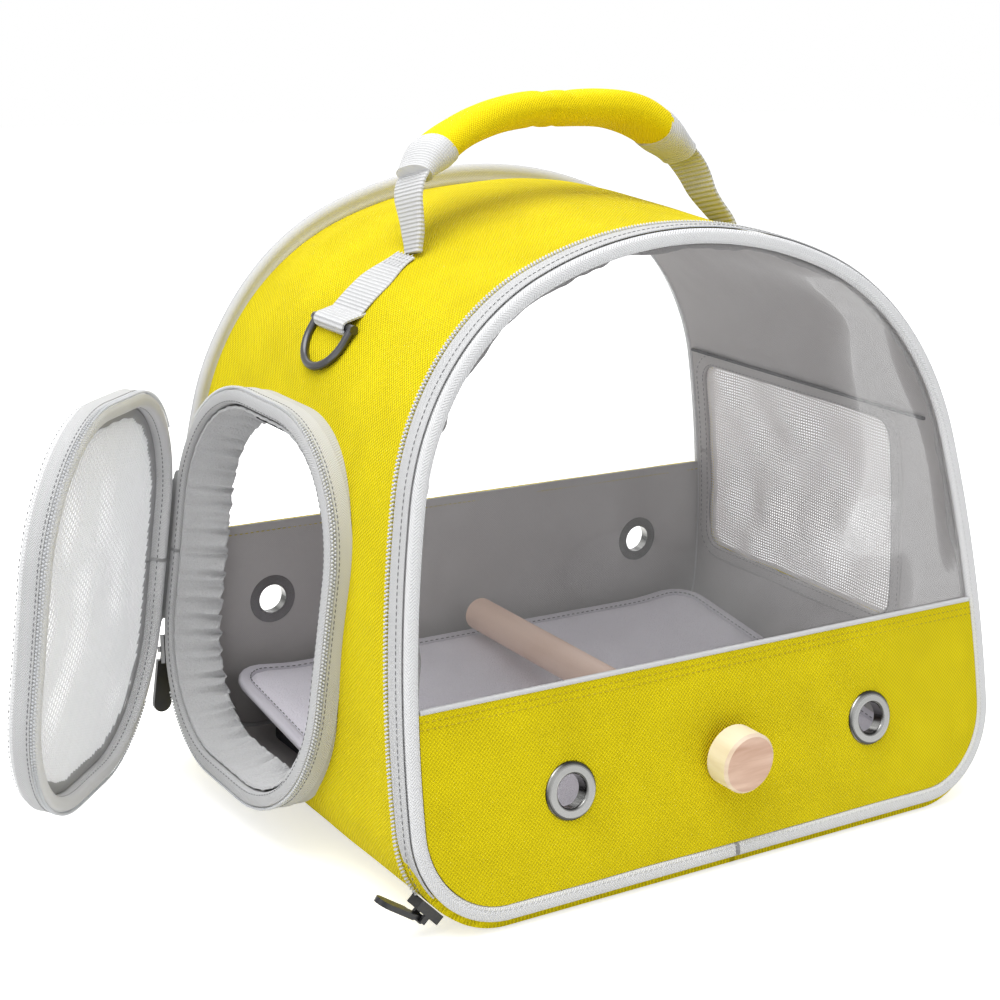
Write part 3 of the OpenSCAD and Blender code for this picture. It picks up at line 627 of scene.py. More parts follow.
def cloth(name, colour, pattern, pitch, depth, contrast, roughness=0.85, sheen=0.03):
    """Woven cloth. Its pattern is plain (oxford), herringbone, rib or felt."""
    look = Look(name, colour, roughness, Sheen_Weight=sheen, Sheen_Roughness=SHEEN_ROUGHNESS)
    look.shader.inputs["Specular IOR Level"].default_value = SPECULAR
    x, y = look.threads()
    if pattern == "plain":
        height = look.times(look.wave(x, pitch), look.wave(y, pitch))
    elif pattern == "herringbone":
        height = look.wave(look.plus(x, look.maths("PINGPONG", y, ZIGZAG)), pitch)
    elif pattern == "rib":
        fine = look.times(look.wave(y, pitch * 0.6), 0.3)
        height = look.plus(look.wave(x, pitch), fine)
    else:
        height = look.times(look.plus(look.cloud(FELT_SCALE, 3.0), -0.5), FELT_HEIGHT)
    mottle = look.times(look.plus(look.cloud(MOTTLE_SCALE), -0.5), MOTTLE_TONE)
    # The weave's low places are drawn darker, painted shade between the threads; the mottle is random
    # tone of the cloth.
    factor = look.plus(look.plus(look.times(height, WEAVE_HOLLOW_SHADE), mottle), 0.5)
    look.tint(factor, shade(colour, 1 - contrast), shade(colour, 1 + contrast / 2))
    look.bump(height, depth)
    return look.material


def smooth_stuff(name, colour, roughness, scale=200.0, contrast=0.08, depth=0.03, **sockets):
    """Metal, plastic or lacquer with a little unevenness of tone and surface."""
    look = Look(name, colour, roughness, **sockets)
    cloud = look.cloud(scale, 3.0)
    look.tint(cloud, shade(colour, 1 - contrast), shade(colour, 1 + contrast))
    look.bump(cloud, depth)
    return look.material


def wood(name, light, dark, axis_scale):
    """Turned wood: growth rings drawn out along the grain, and fine pores."""
    look = Look(name, light, 0.55)
    place = look.node("Mapping", Vector=look.coords("Object"), Scale=axis_scale).outputs["Vector"]
    pores = look.grain(place, 7.0, 2.0)
    factor = look.plus(look.grain(place, 1.0, 6.0, 0.6), look.times(pores, 0.3))
    look.tint(look.plus(factor, -0.15), dark, light)
    look.bump(pores, 0.08)
    return look.material


def end_grain_wood(name):
    """A turned knob: pale long grain round its side, darker end grain on its face."""
    look = Look(name, (0.85, 0.72, 0.52), 0.5)
    facing = look.node("SeparateXYZ", Vector=look.coords("Normal")).outputs["Y"]
    face = look.times(look.plus(look.maths("ABSOLUTE", facing), -0.6), 4.0)
    turned = look.node("Mapping", Vector=look.coords("Object"), Rotation=(0.0, 0.7, 0.0),
                       Scale=(30.0, 30.0, 210.0))
    streaks = look.grain(turned.outputs["Vector"], 1.0, 5.0, 0.5)
    both = look.node("MixRGB")
    both.use_clamp = True
    look.put(face, both.inputs[0])
    side_tones = (0.8, 0.69, 0.5), (0.93, 0.84, 0.66)
    face_tones = (0.58, 0.34, 0.235), (0.8, 0.56, 0.43)
    for tones, socket in zip((side_tones, face_tones), both.inputs[1:]):
        ramp = look.ramp(streaks, *tones)
        ramp.color_ramp.elements[0].position, ramp.color_ramp.elements[1].position = 0.3, 0.7
        look.put(ramp.outputs["Color"], socket)
    look.put(both.outputs["Color"], look.shader.inputs["Base Color"])
    look.bump(streaks, 0.12)
    return look.material


def reflection_painted_metal(name, low, high):
    """Polished metal with a painted reflection: its colour swings between dark and light bands with the
    way it faces, as studio lights would mirror in it.
    """
    look = Look(name, high, 0.22, Metallic=1.0)
    ways = look.node("SeparateXYZ", Vector=look.coords("Normal")).outputs
    swing = look.plus(look.times(ways["Z"], 5.0), look.times(ways["X"], 3.0))
    factor = look.plus(look.times(look.maths("SINE", look.plus(swing, 0.6)), 0.5), 0.45)
    look.tint(factor, low, high)
    look.bump(look.cloud(300.0), 0.02)
    return look.material


def clear_sheet(name):
    """Clear flexible sheet: a glossy skin that mirrors more at a low angle."""
    look = Look(name, (1.0, 1.0, 1.0), 0.06, Metallic=1.0)
    edge = look.node("Fresnel", IOR=1.42).outputs["Fac"]
    scuffs = look.times(look.cloud(60.0, 4.0), 0.02)
    skin = look.plus(look.times(edge, 0.42), scuffs)
    look.put(look.plus(skin, 0.005), look.shader.inputs["Alpha"])
    look.bump(look.cloud(25.0), 0.25)
    look.material.surface_render_method = "BLENDED"
    return look.material


YELLOW = (0.9, 0.715, 0.004)
PALE = (0.82, 0.82, 0.825)
GREY = (0.47, 0.45, 0.445)
LILAC = (0.86, 0.83, 0.9)
WEB_GREY = (0.66, 0.66, 0.665)

# Cloth: colour, pattern, its pitch and depth in millimetres, contrast, roughness, sheen.
oxford = cloth("oxford", YELLOW, "plain", 1.7, 0.34, 0.34)
oxford_pad = cloth("oxford pad", YELLOW, "plain", 1.3, 0.16, 0.14)
lining = cloth("lining", GREY, "plain", 0.9, 0.05, 0.08, 0.6)
# The collar's cloth is the binding's made darker: painted shade on its side, which the key lamp above
# lights brightly.
collar_shaded_binding = cloth("collar cloth", shade(PALE, 0.7), "herringbone", 1.3, 0.1, 0.1)
binding = cloth("binding", PALE, "herringbone", 1.3, 0.14, 0.1)
tape = cloth("zip tape", shade(PALE, 0.8), "herringbone", 1.1, 0.12, 0.14)
# The piping is the binding's cloth made darker: painted shade on parts that face up into the key lamp,
# such as the back binding.
piping = cloth("piping", shade(PALE, 0.78), "plain", 0.8, 0.06, 0.06, 0.55)
elastic = cloth("elastic", shade(PALE, 0.8), "felt", 1.0, 0.25, 0.16)
hem = cloth("hem", (0.44, 0.44, 0.445), "plain", 0.8, 0.1, 0.2)
hinge_cloth = cloth("hinge cloth", shade(PALE, 0.55), "plain", 0.9, 0.08, 0.1)
webbing = cloth("webbing", WEB_GREY, "rib", 1.7, 0.22, 0.14)
folded = cloth("folded webbing", WEB_GREY, "rib", 1.2, 0.1, 0.1)
felt = cloth("pad felt", LILAC, "felt", 1.0, 0.3, 0.1, 0.95, 0.1)
pad_edge = cloth("pad edge", shade(LILAC, 0.82), "plain", 0.9, 0.12, 0.12)
net_thread = cloth("net thread", (0.86, 0.86, 0.865), "rib", 0.7, 0.03, 0.04, 0.6)
side_thread = cloth("side net thread", (0.84, 0.81, 0.795), "rib", 0.7, 0.03, 0.04, 0.6)
edge_cloth = cloth("seam edge", (0.3, 0.29, 0.29), "felt", 1.0, 0.2, 0.3)
# Near black: painted shadow along the lining's seams.
painted_seam_shadow = cloth("seam shadow", (0.07, 0.07, 0.075), "felt", 1.0, 0.1, 0.1)
# Smooth stuff: colour, roughness, scale of its unevenness, contrast.
stitch = smooth_stuff("stitches", shade(PALE, 0.82), 0.6, 900.0, 0.1)
yellow_stitch = smooth_stuff("yellow stitches", shade(YELLOW, 0.55), 0.6, 900.0, 0.1)
grey_stitch = smooth_stuff("grey stitches", (0.16, 0.16, 0.165), 0.7, 900.0, 0.1)
coil = smooth_stuff("zip coil", (0.62, 0.63, 0.65), 0.35, 500.0, 0.08)
gunmetal = smooth_stuff("ring metal", (0.1, 0.1, 0.105), 0.3, 120.0, 0.12, Metallic=0.9)
steel = smooth_stuff("screw metal", (0.6, 0.6, 0.62), 0.35, 300.0, 0.1, Metallic=1.0)
black = smooth_stuff("black lacquer", (0.012, 0.012, 0.013), 0.3, 150.0, 0.2)
board = smooth_stuff("floor board", (0.05, 0.05, 0.054), 0.5, 60.0, 0.25)
# Eyelets: their colour carries painted reflection bands, dark to light with the way each face turns.
chrome = reflection_painted_metal("eyelet metal", (0.045, 0.045, 0.043), (0.34, 0.34, 0.33))
perch_wood = wood("perch wood", (0.84, 0.62, 0.5), (0.7, 0.48, 0.37), (130.0, 9.0, 130.0))
knob_wood = end_grain_wood("knob wood")
clear = clear_sheet("clear sheet")

for look, shown in ((board, "floor_board"),
                    (chrome, "front_eyelets front_washers back_eyelets back_washers"),
                    (perch_wood, "perch"), (steel, "perch_screw"), (knob_wood, "perch_knob"),
                    (black, "front_zip_slider front_zip_pull door_zip_slider door_zip_pull"),
                    (gunmetal, "ring_left ring_right")):
    for name in shown.split():
        nodes[name].data.materials.clear()
        nodes[name].data.materials.append(look)

# Each piece: its material, the body that carries it, its slot, and the nodes that it stands for.
PIECES = {
    "gusset": (oxford, "root", "shell_fabric", "gusset_shell"),
    "lining": (lining, "root", "lining_fabric", "side_lining"),
    "lining_seams": (painted_seam_shadow, "root", "lining_fabric"),
    "floor_mat": (felt, "root", "pad_fabric", "floor_pad"),
    "mat_edge": (pad_edge, "root", "pad_tape", "pad_binding"),
    "mat_stitches": (grey_stitch, "root", "pad_tape"),
    "panel_binding": (binding, "front_panel", "binding_fabric", "front_binding"),
    "binding_stitches": (stitch, "front_panel", "binding_fabric"),
    "band": (oxford, "front_panel", "shell_fabric", "front_band"),
    "band_lining": (lining, "front_panel", "lining_fabric", "front_band_lining"),
    "band_fold": (piping, "front_panel", "shell_fabric", "front_band_edge"),
    "band_stitches": (yellow_stitch, "front_panel", "shell_fabric"),
    "panel_window": (clear, "front_panel", "clear_pvc", "front_window"),
    "panel_seam_edge": (edge_cloth, "front_panel", "lining_fabric"),
    "panel_zip_tape": (tape, "front_panel", "zip_tape", "front_zip_tape"),
    "zip_tape_stitches": (grey_stitch, "front_panel", "zip_tape"),
    "front_coil": (coil, "root", "zip_teeth", "front_zip_teeth"),
    "back_binding_cloth": (piping, "root", "binding_fabric", "back_binding"),
    "back_band_cloth": (oxford, "root", "shell_fabric", "back_band"),
    "back_lining_cloth": (lining, "root", "lining_fabric", "back_band_lining"),
    "back_window_sheet": (clear, "root", "clear_pvc", "back_window"),
    "back_stitches": (yellow_stitch, "root", "shell_fabric"),
    "side_net": (side_thread, "root", "net_white", "side_window_net"),
    "side_net_hem": (lining, "root", "hem_fabric", "side_window_hem"),
    "side_window_trim": (piping, "root", "binding_fabric"),
    "side_net_stitches": (grey_stitch, "root", "hem_fabric"),
    "collar_cloth": (collar_shaded_binding, "root", "binding_fabric", "door_collar"),
    "collar_tape": (tape, "root", "zip_tape", "collar_zip_tape"),
    "collar_coil": (coil, "root", "zip_teeth", "collar_zip_teeth"),
    "collar_stitches": (grey_stitch, "root", "zip_tape"),
    "door_elastic": (elastic, "root", "hem_fabric", "door_tunnel"),
    "elastic_edge": (elastic, "root", "hem_fabric"),
    "door_frame_cloth": (binding, "door", "binding_fabric", "door_frame"),
    "door_tape": (tape, "door", "zip_tape", "door_zip_tape"),
    "door_coil": (coil, "door", "zip_teeth", "door_zip_teeth"),
    "door_stitches": (grey_stitch, "door", "zip_tape"),
    "door_net_hem_cloth": (hem, "door", "hem_fabric", "door_net_hem"),
    "door_net_cloth": (net_thread, "door", "net_white", "door_net"),
    "hinge_strip": (hinge_cloth, None, "hem_fabric", "collar_hinge_leaf", "door_hinge_leaf"),
    "handle_webbing_cloth": (webbing, None, "webbing", "handle_webbing"),
    "grip_sleeve": (oxford_pad, "handle", "grip_fabric", "handle_grip"),
}
for side in ("left", "right"):
    PIECES["grip_end_" + side] = (folded, "handle", "binding_fabric", "grip_ends")
    PIECES["strap_" + side] = (webbing, "root", "webbing", "shell_straps")
    PIECES["patch_" + side] = (webbing, "root", "webbing", "strap_patches")
    PIECES["tack_" + side] = (stitch, "root", "webbing")


# ---- What each sheet was cut to ----
def oval(w, h, r):
    return w * h - (4 - PI) * r * r


def outline_area(q):
    """Area inside the rim of a grid of plane points."""
    rim = np.concatenate([q[0], q[1:, -1], q[-1, -2::-1], q[-2:0:-1, 0]])
    x, y = rim[:, 0], rim[:, 1]
    return abs(np.sum(x * np.roll(y, -1) - y * np.roll(x, -1))) / 2


def cloth_sheet(width, length, area):
    area = min(area, width * length)


def girth_sheet(line):
    """The long strip that runs round the body, less its two openings."""
    deep = BACK_Y - FRONT_Y - line.p[:, 1] * math.tan(FRONT_LEAN)
    area = line.length * deep.mean() - oval(DOOR_IN_W, DOOR_IN_H, DOOR_IN_R)
    area = area - oval(SIDE_NET_W, SIDE_NET_H, SIDE_NET_R)
    cloth_sheet(line.length, deep.max(), area)


FRONT_SIDE = (front, "panel_binding", TALL)
BACK_SIDE = (back, "back_binding_cloth", 1.0)


def layer(name, q, low, high, side, cutters=()):
    """One sheet of the front or back panel. side has its place, its binding and its slant."""
    place, rim, tall = side
    threads = lambda points: points[:, [0, 2]] * [1, tall]
    obj = slab(name, q, low, high, place, cutters, weave=threads)
    width, length = np.ptp(q.reshape(-1, 2), axis=0) * [1, tall]
    cloth_sheet(width, length, outline_area(q) * tall)


# ---- Body: gusset, lining, floor pad ----
ARCH_ROWS, DEPTH_COLUMNS = 320, 60
GUSSET_WAVES = ((70, 1.6, 3.0), (24, 0.5, 9.0))  # size, height and seed of each unevenness
LINING_WAVES = ((45, 2.2, 5.0), (16, 0.7, 1.0))
EDGE_TUCK = 0.5
base_line = body_track(0, ARCH_ROWS)
inner_line = body_track(BASE_T - WALL_T, ARCH_ROWS)
shelf = np.broadcast_to(np.linspace(0, 1, DEPTH_COLUMNS), (ARCH_ROWS, DEPTH_COLUMNS))


def round_the_body(points):
    """Threads that follow the body's girth and depth."""
    q = points[:, [0, 2]]
    nearest = [np.argmin(((base_line.p - p) ** 2).sum(1)) for p in q]
    line = base_line.p[nearest]
    along = np.stack([base_line.n[nearest][:, 1], -base_line.n[nearest][:, 0]], 1)
    return np.stack([base_line.s[nearest] + ((q - line) * along).sum(1), points[:, 1]], 1)


def flat_wall(line):
    return between(np.repeat(line.p[:, None], DEPTH_COLUMNS, 1), shelf)


def girth_cloth(name, line_0, out_0, line_1, out_1):
    """A cloth round the body, between two lines moved out by their own amounts. It has both openings."""
    sides = [between(line.p[:, None] + out[..., None] * line.n[:, None], shelf)
             for line, out in ((line_0, out_0), (line_1, out_1))]
    obj = mesh_object(name, np.stack(sides), slab_faces(ARCH_ROWS, DEPTH_COLUMNS, True))
    window = box_track(SIDE_NET_W, SIDE_NET_H, SIDE_NET_R, 100, SIDE_NET_AT)
    cut(obj, [prism(door_track(DOOR_WALL, 120), collar, -20, 60),
              prism(window, lambda q, x: stack(x, q[..., 0], q[..., 1]), 60, 200)])
    finish_piece(obj, round_the_body)
    girth_sheet(line_0)


def make_gusset():
    flat = flat_wall(base_line)
    z = flat[..., 2]
    sag = sum(ripple(flat, *wave) for wave in GUSSET_WAVES)
    hold = smooth(0.0, 0.12, shelf) * smooth(1.0, 0.9, shelf)
    full = CROWN_BULGE * smooth(170, 250, z) * smooth(0.1, 0.75, shelf) * smooth(1.0, 0.82, shelf)
    tuck = EDGE_TUCK * smooth(0.02, 0.0, shelf) + EDGE_TUCK * smooth(0.975, 1.0, shelf)
    out = full + sag * hold * smooth(3, 26, z) - tuck
    girth_cloth("gusset", base_line, out, inner_line, out * 0.5 - WALL_T)


def make_lining():
    flat = flat_wall(inner_line)
    slack = sum(np.abs(ripple(flat, *wave)) for wave in LINING_WAVES)
    slack = slack * smooth(0.0, 0.08, shelf) * smooth(1.0, 0.93, shelf)
    slack = slack * smooth(8, 20, flat[..., 2])
    girth_cloth("lining", inner_line, -SKIN - slack, inner_line, -INNER - slack)


def make_lining_seams():
    """The seam along each side where the lining's crown and side meet: a thin near-black tube, painted
    shadow in the seam's fold.
    """
    y = np.linspace(FRONT_Y + 44, BACK_Y - 3, 90)
    x = side_at(np.full_like(y, SEAM_Z)) - INNER - 1.7
    a = circle(6)
    ring = np.stack([1.3 * np.cos(a), 0 * a, 0.8 * np.sin(a)], 1)
    verts = [(stack(side * x, y, SEAM_Z)[:, None] + ring[None]).reshape(-1, 3) for side in (-1, 1)]
    tube = np.array([0, len(verts[0])])
    faces = [[start + i for i in face] for start in tube.tolist()
             for face in tube_faces(len(y), 6, False)]
    verts = np.concatenate(verts)
    finish_piece(mesh_object("lining_seams", verts, faces), verts[:, 1:])


def make_pad():
    w, l, r, half = PAD_W + PAD_MORE_W, PAD_L + PAD_MORE_L, PAD_R - PAD_LESS_R, PAD_TAPE / 2
    track = box_track(w - 2 * PAD_TAPE, l - 2 * PAD_TAPE, r - PAD_TAPE, 170)
    f = 1 - np.linspace(0, 1, 26) ** 1.35
    top = PAD_T * 0.62 + (PAD_T * 0.38 + PAD_CROWN) * np.sqrt(1 - np.clip(f, 0, 1) ** 5)
    q = track.p[:, None] * f[None, :, None]
    up = np.broadcast_to(top, q.shape[:2])
    up = up + ripple(pad_place(q, 0 * up), 38, 0.9, 2.0) * (1 - f ** 3)
    low = 0.3 + 0.9 * f[None] ** 8 + 0 * up
    mat = slab("floor_mat", q, low, up, curled, loop=True, weave=np.concatenate([q.reshape(-1, 2)] * 2))
    edge = box_track(w - PAD_TAPE, l - PAD_TAPE, r - half, 200)
    sweep("mat_edge", edge, rounded(-half, half, 0.2, PAD_T - 0.4, 2.0), curled)
    beads("mat_stitches", [rail(edge, -half + 0.4, PAD_T - 0.3, curled, 3.0)], (1.0, 0.25, 0.25))


# ---- Front panel ----
front_line = body_track(BASE_T + PANEL_GAP, 420)
# Stitches: half their length, width and height, and their spacing on flat cloth and on rims.
STITCH, STITCH_PITCH, RIM_PITCH = (0.9, 0.24, 0.2), 2.7, 2.6
ARCH_INSET = BINDING_W + SEW_GAP


def front_cutters(low, high):
    """Holes for the two eyelets and the screw."""
    z = front_z(EYELET_H, BAND_FACE)
    return [prism(hole(*spot, TALL), front, low, high)
            for spot in ((-EYELET_X, z, HOLE_R), (EYELET_X, z, HOLE_R), (0, PERCH_Z, SCREW_HOLE_R))]


def near_spots(q, spots, spread):
    """1 at each spot, falling to 0 round it."""
    return sum(np.exp(-((q[..., 0] - x) ** 2 + (q[..., 1] - z) ** 2) / spread) for x, z in spots)


def make_front_panel():
    herring = rounded(-BINDING_W, 0, PANEL_GAP, BINDING_T, 1.5, 5)
    herring[:, 1] += np.where(herring[:, 1] > 2, 0.25 * np.cos(herring[:, 0] + BINDING_W / 2), 0)
    sweep("panel_binding", front_line, herring, front)
    row = rail(front_line, -BINDING_W + 1.1, BINDING_T + 0.1, front, RIM_PITCH)
    beads("binding_stitches", [row], (0.85, 0.22, 0.22))

    top = front_z(FRONT_BAND_H, LAYER_3)
    q = rows_grid(front_line, ARCH_INSET, top, 34, 90)
    bow = 0.9 * smooth(0, 30, top - q[..., 1]) * smooth(0, 26, q[..., 1]) * (1 - (q[..., 0] / 150) ** 4)
    uneven = ripple(front(q, 0 * bow), 40, 0.5, 7.0) * smooth(0, 8, top - q[..., 1])
    eyelet_z = front_z(EYELET_H, 0)
    near = near_spots(q, [(-EYELET_X, eyelet_z), (EYELET_X, eyelet_z), (0, PERCH_Z)], 400)
    out = (bow + uneven) * np.clip(1 - 1.3 * near, 0, 1)
    layer("band", q, LAYER_3 + out * 0.6, LAYER_3 + BAND_T + out, FRONT_SIDE, front_cutters(-2, 12))
    q = rows_grid(front_line, ARCH_INSET, front_z(FRONT_BAND_H - 1, LAYER_1), 30, 80)
    zero = 0 * q[..., 0]
    layer("band_lining", q, LAYER_1 + zero, LAYER_1 + LINING_T + zero, FRONT_SIDE,
          front_cutters(-6, 12))

    edge = level_line(front_line, ARCH_INSET, top, 0.9, 0.3, 120)
    sweep("band_fold", edge, rounded(-1.0, 0.8, LAYER_3 - 0.1, BAND_FACE + 0.45, 0.7), front)
    rows = [rail(edge, down, BAND_FACE + 0.12, front, STITCH_PITCH) for down in (-3.6, -6.4)]
    beads("band_stitches", rows, STITCH)

    q = fan_grid(front_line, ARCH_INSET - 0.4, front_z(FRONT_BAND_H - WINDOW_LAP, LAYER_2), 50, 90)
    high = smooth(top, top + 60, q[..., 1])
    bow = high * (2.2 * np.cos(np.abs(q[..., 0]) / 140 * 2.2)
                  + ripple(front(q, 0 * high), 55, 1.8, 4.0))
    bow = bow * smooth(0, 14, distance_in(front_line, q, ARCH_INSET))
    layer("panel_window", q, LAYER_2 + bow, LAYER_2 + WINDOW_T + bow, FRONT_SIDE)


def make_seam_edge():
    """The cut edge of the sewn layers, showing unevenly inside the arch behind the clear sheet."""
    line = front_line.spaced(1.2).only(above(FRONT_BAND_H))
    wander = ripple_along(line.s, 26, 3.2, 6.0) + ripple_along(line.s, 7, 1.0, 2.0)
    width = np.clip(2.2 + wander, 0.8, 5.0)
    ring = rounded(-1, 0, -0.62, -0.05, 0.2, 2)
    profile = stack(-BINDING_W + 0.3 + ring[:, 0] * (width[:, None] + 0.3), ring[:, 1])
    sweep("panel_seam_edge", line, profile, front)


# ---- Zip round the front ----
def make_front_zip():
    face = PANEL_GAP + ZIP_T
    profile = rounded(PANEL_GAP, face, -ZIP_W, PANEL_GAP + 2, 0.3, 3)
    sweep("panel_zip_tape", front_line.only(above(ZIP_LOW + 2)), profile, front)
    line = body_track(0, 400)
    row = rail(line, face + 0.1, -1.0, front, 2.4, above(ZIP_LOW + 2))
    beads("zip_tape_stitches", [row], (0.9, 0.2, 0.3))
    middle = -(ZIP_W + PANEL_GAP + COIL_W / 2)
    rows = [rail(line, SEW_GAP + COIL_T / 2, middle + side * 0.62, front, TOOTH_PITCH,
                 above(ZIP_LOW), 0.25 * side) for side in (-1, 1)]
    beads("front_coil", rows, (0.52, 0.8, 0.72))


# ---- Back panel ----
back_line = body_track(BACK_PROUD, 420)


def make_back_panel():
    """Two pipings side by side, the band with its lining and eyelets, and the clear window."""
    two = []
    for x, y in [(2.0 * math.cos(t), 2.2 * math.sin(t)) for t in circle(24)]:
        groove = 0.75 * math.exp(-(x / 0.55) ** 2)
        two.append((x * 1.75, y - math.copysign(groove, y) if abs(y) > 0.1 else y))
    full, crown = (smooth(a, b, back_line.p[:, 1])[:, None] for a, b in ((6, 40), (190, 255)))
    profile = np.repeat(np.array(two)[None], len(back_line.p), 0)
    profile[..., 0] *= 1 + 0.3 * full + 0.25 * crown
    profile[..., 0] += BACK_PROUD - BACK_BINDING_W / 2 + full + 2.4 * crown
    profile[..., 1] = profile[..., 1] * (1 + 0.3 * full) + SEW_GAP + 2.25 - 0.35 * full
    sweep("back_binding_cloth", back_line, profile, back, 70)

    inset = BACK_BINDING_W + SEW_GAP - BACK_PROUD
    eyelets = [(side * BACK_EYELET_X, BACK_EYELET_Z) for side in (-1, 1)]
    holes = lambda: [prism(hole(*spot, HOLE_R), back, -6, 12) for spot in eyelets]

    def uneven(q, size, amount, seed, margin):
        fade = smooth(0, margin, distance_in(back_line, q, inset))
        return ripple(back(q, 0 * q[..., 0]), size, amount, seed) * fade

    q = rows_grid(back_line, inset, BACK_BAND_H, 34, 84)
    out = np.abs(uneven(q, 45, 0.8, 6.0, 12)) * (1 - near_spots(q, eyelets, 500))
    layer("back_band_cloth", q, BACK_3 + 0.5 * out, BACK_3 + BAND_T + out, BACK_SIDE, holes())
    q = rows_grid(back_line, inset, BACK_BAND_H + 0.5, 34, 84)
    out = -np.abs(uneven(q, 50, 1.4, 8.0, 12))
    layer("back_lining_cloth", q, BACK_1 + out, BACK_1 + LINING_T + 0.5 * out, BACK_SIDE, holes())
    q = fan_grid(back_line, inset - 0.3, BACK_BAND_H - WINDOW_LAP, 40, 80)
    fade = smooth(BACK_BAND_H, BACK_BAND_H + 25, q[..., 1])
    out = np.clip(uneven(q, 60, 1.4, 11.0, 20), -0.9, 1.5) * fade
    layer("back_window_sheet", q, BACK_2 + out, BACK_2 + WINDOW_T + out, BACK_SIDE)
    edge = level_line(back_line, inset, BACK_BAND_H, 0, 0.5, 110)
    spots = ((-3.0, BACK_FACE + 0.25), (-5.6, BACK_FACE + 0.25), (-3.5, BACK_1 - 0.15))
    beads("back_stitches", [rail(edge, *spot, back, STITCH_PITCH) for spot in spots], STITCH)


# ---- Nets ----
def net(name, inside, pitch, thread, place, depth, turn, step=4.0, wide=0.33):
    """Two families of threads, clipped to where inside() holds, that lie on depth()."""
    span = 95
    deep = 0.3 if wide > 0.5 else 0.55
    verts, faces, weave = [], [], []
    total = 0
    for family, angle in enumerate((turn, turn + PI / 2)):
        along = np.array([math.cos(angle), math.sin(angle)])
        side = np.array([-along[1], along[0]])
        for k in np.arange(-span, span, pitch):
            t = np.arange(-span, span, step)
            mask = inside(np.outer(t, along) + side * k)
            if mask.sum() < 3:
                continue
            t0, t1 = t[mask][0], t[mask][-1]
            t = np.linspace(t0 - step * 0.45, t1 + step * 0.45, int(mask.sum()) + 1)
            q = np.outer(t, along) + side * k
            lift = depth(q) + (0.5 - family) * thread * 0.7
            for a, b in ((wide, 0), (0, deep), (-wide, 0), (0, -deep)):
                verts.append(place(q + side * thread * a, lift + thread * b))
                weave.append(np.stack([t, np.full_like(t, k)], 1))
            n = len(t)
            base = total + np.arange(4) * n
            i = np.arange(n - 1)
            for j in range(4):
                a, b = base[j] + i, base[(j + 1) % 4] + i
                faces += np.stack([a, a + 1, b + 1, b], 1).tolist()
            faces += [base.tolist(), (base + n - 1)[::-1].tolist()]
            total += 4 * n
    return finish_piece(mesh_object(name, np.concatenate(verts), faces), np.concatenate(weave))


def in_box(w, h, r):
    def test(q):
        past = np.maximum(np.abs(q) - [w / 2 - r, h / 2 - r], 0)
        return np.linalg.norm(past, axis=-1) < r
    return test


def make_side_window():
    w, h, r = SIDE_NET_W + 2 * SIDE_HEM - 3, SIDE_NET_H + 2 * SIDE_HEM - 3, 12

    def depth(q):
        past = np.maximum(np.abs(q[..., 0]) / (w / 2), np.abs(q[..., 1]) / (h / 2))
        edge = 1 - np.clip(past, 0, 1) ** 6
        folds = 1.6 * np.sin(q[..., 0] / 9 + q[..., 1] / 30 + ripple_flat(q, 40, 3.0, 1.0))
        slack = 1.6 + 0.8 * folds * smooth(-50, 40, q[..., 0]) + ripple_flat(q, 22, 2.4, 2.0)
        return INNER - 1.1 + edge * slack

    on_wall = lambda q, inward: right_wall(q + SIDE_NET_AT, inward)
    obj = net("side_net", in_box(w, h, r), 1.45, 0.5, on_wall, depth, 0.03, wide=0.95)
    cloth_sheet(w, h, oval(w, h, r))
    half = SIDE_HEM / 2
    track = box_track(SIDE_NET_W + SIDE_HEM, SIDE_NET_H + SIDE_HEM, SIDE_NET_R + half, 220, SIDE_NET_AT)
    sweep("side_net_hem", track, rounded(-half, half, INNER + SEW_GAP, INNER + 1.5, 0.5, 3), right_wall)
    sweep("side_window_trim", track, rounded(-half - 1.2, -half + 1.6, -0.5, 1.2, 0.6, 3), right_wall)
    spots = ((-2.4, INNER + 1.6), (2.4, INNER + 1.6), (-half + 3.0, -0.25))
    rows = [rail(track, *spot, right_wall, STITCH_PITCH) for spot in spots]
    beads("side_net_stitches", rows, (0.9, 0.22, 0.22))


# ---- Side door ----
door_line = door_track()
TOOTH_ROW = 1.2
TAPE_FACE = SEW_GAP + ZIP_T


def wall_depth(line, out):
    """Depth at which the collar's outside meets the body, at each point of the line."""
    q = line.at(out)
    depth = np.full(len(q), 8.0)
    for _ in range(12):
        world = collar(q, depth)
        depth = depth + (-side_at(np.maximum(world[:, 2], 8)) - world[:, 0]) * 0.9
    return depth


def door_zip(name, place, way, stitched):
    """Half of the door's zip: its two rows of teeth, and the stitches of its tape and its rims."""
    rows = [rail(door_line, SEW_GAP + 0.7, way * (0.75 + TOOTH_ROW * k), place, TOOTH_PITCH,
                 zipped, 0.5 * k) for k in (0, 1)]
    beads(name + "_coil", rows, (0.52, 0.72, 0.55))
    rows = [rail(door_line, TAPE_FACE + 0.1, way * (COIL_W + 1.2), place, 2.3, zipped)]
    rows += [rail(door_line, out, depth, place, RIM_PITCH) for out, depth in stitched]
    beads(name + "_stitches", rows, (0.8, 0.2, 0.22))


